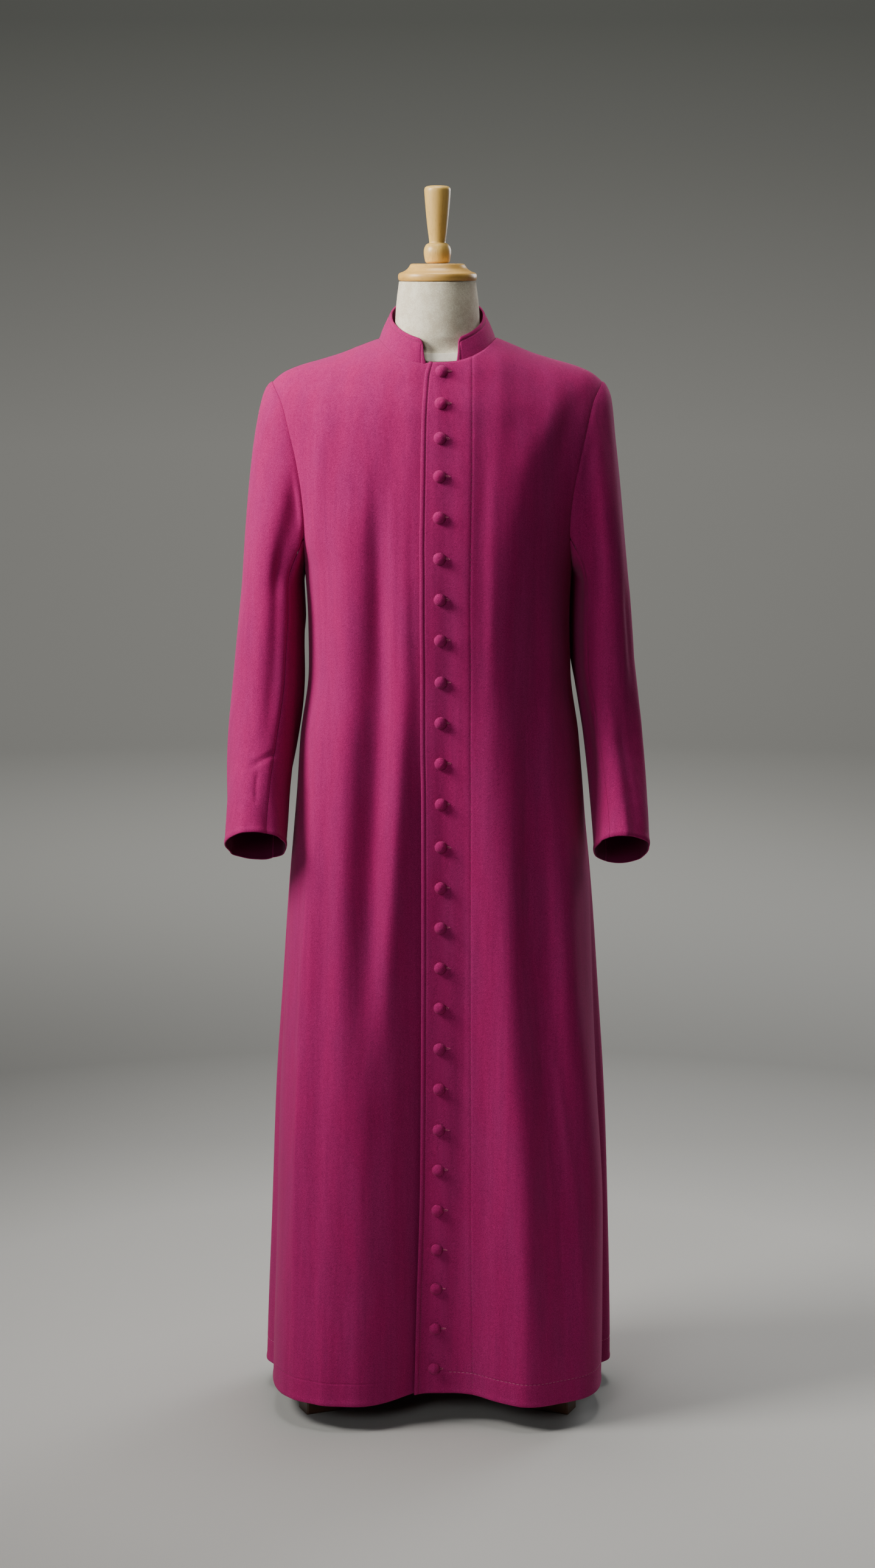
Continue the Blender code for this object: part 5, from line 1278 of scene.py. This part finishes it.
rows = [stitch_paths(edge_line, edge_out, STITCH_LENGTH, STITCH_GAP, THREAD_RADIUS),
        stitch_paths(facing_points, facing_out, FACING_STITCH_LENGTH, FACING_STITCH_GAP, THREAD_RADIUS),
        stitch_paths(collar_line, collar_line_out, STITCH_LENGTH, STITCH_GAP, THREAD_RADIUS)]
stitches = sewn_rows("edge_stitches", rows, THREAD_RADIUS, sewing)

# Hem rows, on the left front from its last button on and on the back; the right front's is sewn blind
HEM_ROW_START = 30
hem_thread = thread_finish("wool_hem_thread", *HEM_THREAD_COLOUR)
rows = []
for points, first in ((left_points, HEM_ROW_START), (back_points, 1)):
    level_row = np.argmin(np.abs(edge_distance(points, "bottom")[:, points.shape[1] // 2] - HEM_ROW))
    facing_way = grid_normals(points, body_axis(points))
    rows.append(stitch_paths(points[level_row, first:-1], facing_way[level_row, first:-1],
                             HEM_STITCH_LENGTH, STITCH_GAP, THREAD_RADIUS))
hem_stitches = sewn_rows("hem_stitches", rows, THREAD_RADIUS * 0.8, hem_thread)
for piece in (holes, stitches, hem_stitches):
    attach(piece, "root")

# The floor and backdrop: one surface, flat under the stand and curving up into a round wall. Its colour
# holds painted light: pale round the stand and greyer farther out, as a painted pool of light, and darker
# higher up the wall, as painted shade.
FLOOR_RADIUS = 6.0
WALL_RADIUS = 8.0
WALL_HEIGHT = 7.0
# Painted light: the floor is paler near the middle and greyer farther out, a painted pool of light, and the
# wall darkens towards the top as painted shade.
FLOOR_PAINTED_POOL = (0.45, 0.445, 0.425, 1)
FLOOR_PAINTED_FALLOFF = (0.200, 0.198, 0.187, 1)
WALL_PAINTED_SHADE = (0.078, 0.080, 0.073, 1)
POOL_RADIUS = 0.95
FALLOFF_RADIUS = 1.95
WALL_SHADE_FROM = 0.9
WALL_SHADE_TO = 2.5

backdrop_finish, add, wire = new_finish("backdrop_painted_light")
place = add("TexCoord", {})["Object"]
apart = add("SeparateXYZ", {"Vector": place})
flat_place = add("CombineXYZ", {"X": apart["X"], "Y": apart["Y"]})["Vector"]
from_middle = add("VectorMath", {0: flat_place}, operation="LENGTH")["Value"]
# Painted pool of light: pale near the middle, greying with distance from it.
painted_pool_colour = between(add, from_middle, POOL_RADIUS, FALLOFF_RADIUS, FLOOR_PAINTED_POOL, FLOOR_PAINTED_FALLOFF)
# Painted shade: the wall darkens between these two heights.
upward = add("MapRange", {"Value": apart["Z"], "From Min": WALL_SHADE_FROM, "From Max": WALL_SHADE_TO})["Result"]
wire(Base_Color=add("MixRGB", {"Fac": upward, "Color1": painted_pool_colour, "Color2": WALL_PAINTED_SHADE})["Color"],
     Roughness=0.9, Specular_IOR_Level=0.2)
bend = np.linspace(0, math.pi / 2, 25)
cove = WALL_RADIUS - FLOOR_RADIUS
profile_r = np.concatenate([[0.001, 1.0, 2.5, 4.5], FLOOR_RADIUS + cove * np.sin(bend), [WALL_RADIUS]])
profile_z = np.concatenate([[0.0, 0.0, 0.0, 0.0], cove - cove * np.cos(bend), [WALL_HEIGHT]])
turn = np.linspace(0, 2 * math.pi, 97)
points = np.stack([profile_r[:, None] * np.cos(turn), profile_r[:, None] * np.sin(turn),
                   np.broadcast_to(profile_z[:, None], (len(profile_z), 97))], axis=-1)
k, j = np.meshgrid(np.arange(len(profile_r) - 1), np.arange(96), indexing="ij")
near = (k * 97 + j).ravel()
mesh = bpy.data.meshes.new("backdrop")
mesh.from_pydata(points.reshape(-1, 3).tolist(), [],
                 np.stack([near, near + 97, near + 98, near + 1], axis=-1).tolist())
mesh.polygons.foreach_set("use_smooth", np.ones(len(mesh.polygons), dtype=bool))
mesh.materials.append(backdrop_finish)
backdrop = bpy.data.objects.new("backdrop", mesh)
bpy.context.scene.collection.objects.link(backdrop)

# The lights: a broad soft one high on the left, a weaker one on the same side in front, one from behind on
# the right, one overhead that falls mostly on the floor, and one on the backdrop.
Light = namedtuple("Light", "name place aim size spread power colour")
LIGHTS = [
    Light("window_left", (-1.86, -0.64, 2.3), (0.0, 0.0, 1.25), 1.0, 86, 22.8, (1.0, 0.98, 0.95)),
    Light("fill_front", (-1.6, -4.2, 2.6), (0.0, 0.0, 1.3), 1.6, 100, 14.0, (0.97, 0.98, 1.0)),
    Light("fill_behind", (2.4, 2.9, 2.2), (0.0, 0.0, 0.8), 1.8, 180, 60.0, (0.95, 0.97, 1.0)),
    Light("overhead", (0.0, 0.4, 6.0), (0.0, 0.0, 0.0), 2.2, 180, 190.0, (1.0, 0.99, 0.97)),
    Light("on_backdrop", (0.0, 3.2, 3.4), (0.0, 7.6, 0.9), 1.6, 180, 225.0, (1.0, 1.0, 0.98)),
]
for light in LIGHTS:
    data = bpy.data.lights.new(light.name, "AREA")
    data.shape = "DISK"
    data.size = light.size
    data.spread = math.radians(light.spread)
    data.energy = light.power
    data.color = light.colour
    lamp = bpy.data.objects.new(light.name, data)
    bpy.context.scene.collection.objects.link(lamp)
    lamp.location = light.place
    lamp.visible_camera = False
    away = np.array(light.aim) - np.array(light.place)
    lamp.rotation_euler = (math.acos(away[2] / np.linalg.norm(away)) - math.pi, 0,
                           math.atan2(away[1], away[0]) + math.pi / 2)
world = bpy.data.worlds.new("room")
world.use_nodes = True
world.node_tree.nodes["Background"].inputs["Color"].default_value = (0.80, 0.82, 0.85, 1)
world.node_tree.nodes["Background"].inputs["Strength"].default_value = 0.02
bpy.context.scene.world = world

# The camera: level with the collar, 4.2 m in front and looking slightly down.
IMAGE_HEIGHT = 2576
FOCAL_PIXELS = 5070
camera_data = bpy.data.cameras.new("camera")
camera_data.sensor_fit = "VERTICAL"
camera_data.sensor_height = 36
camera_data.lens = 36 * FOCAL_PIXELS / IMAGE_HEIGHT
camera = bpy.data.objects.new("camera", camera_data)
bpy.context.scene.collection.objects.link(camera)
camera.location = (0.0, -4.2, 1.589)
camera.rotation_euler = (math.radians(90 - 9.6), 0, 0)
bpy.context.scene.camera = camera

bpy.context.view_layer.update()
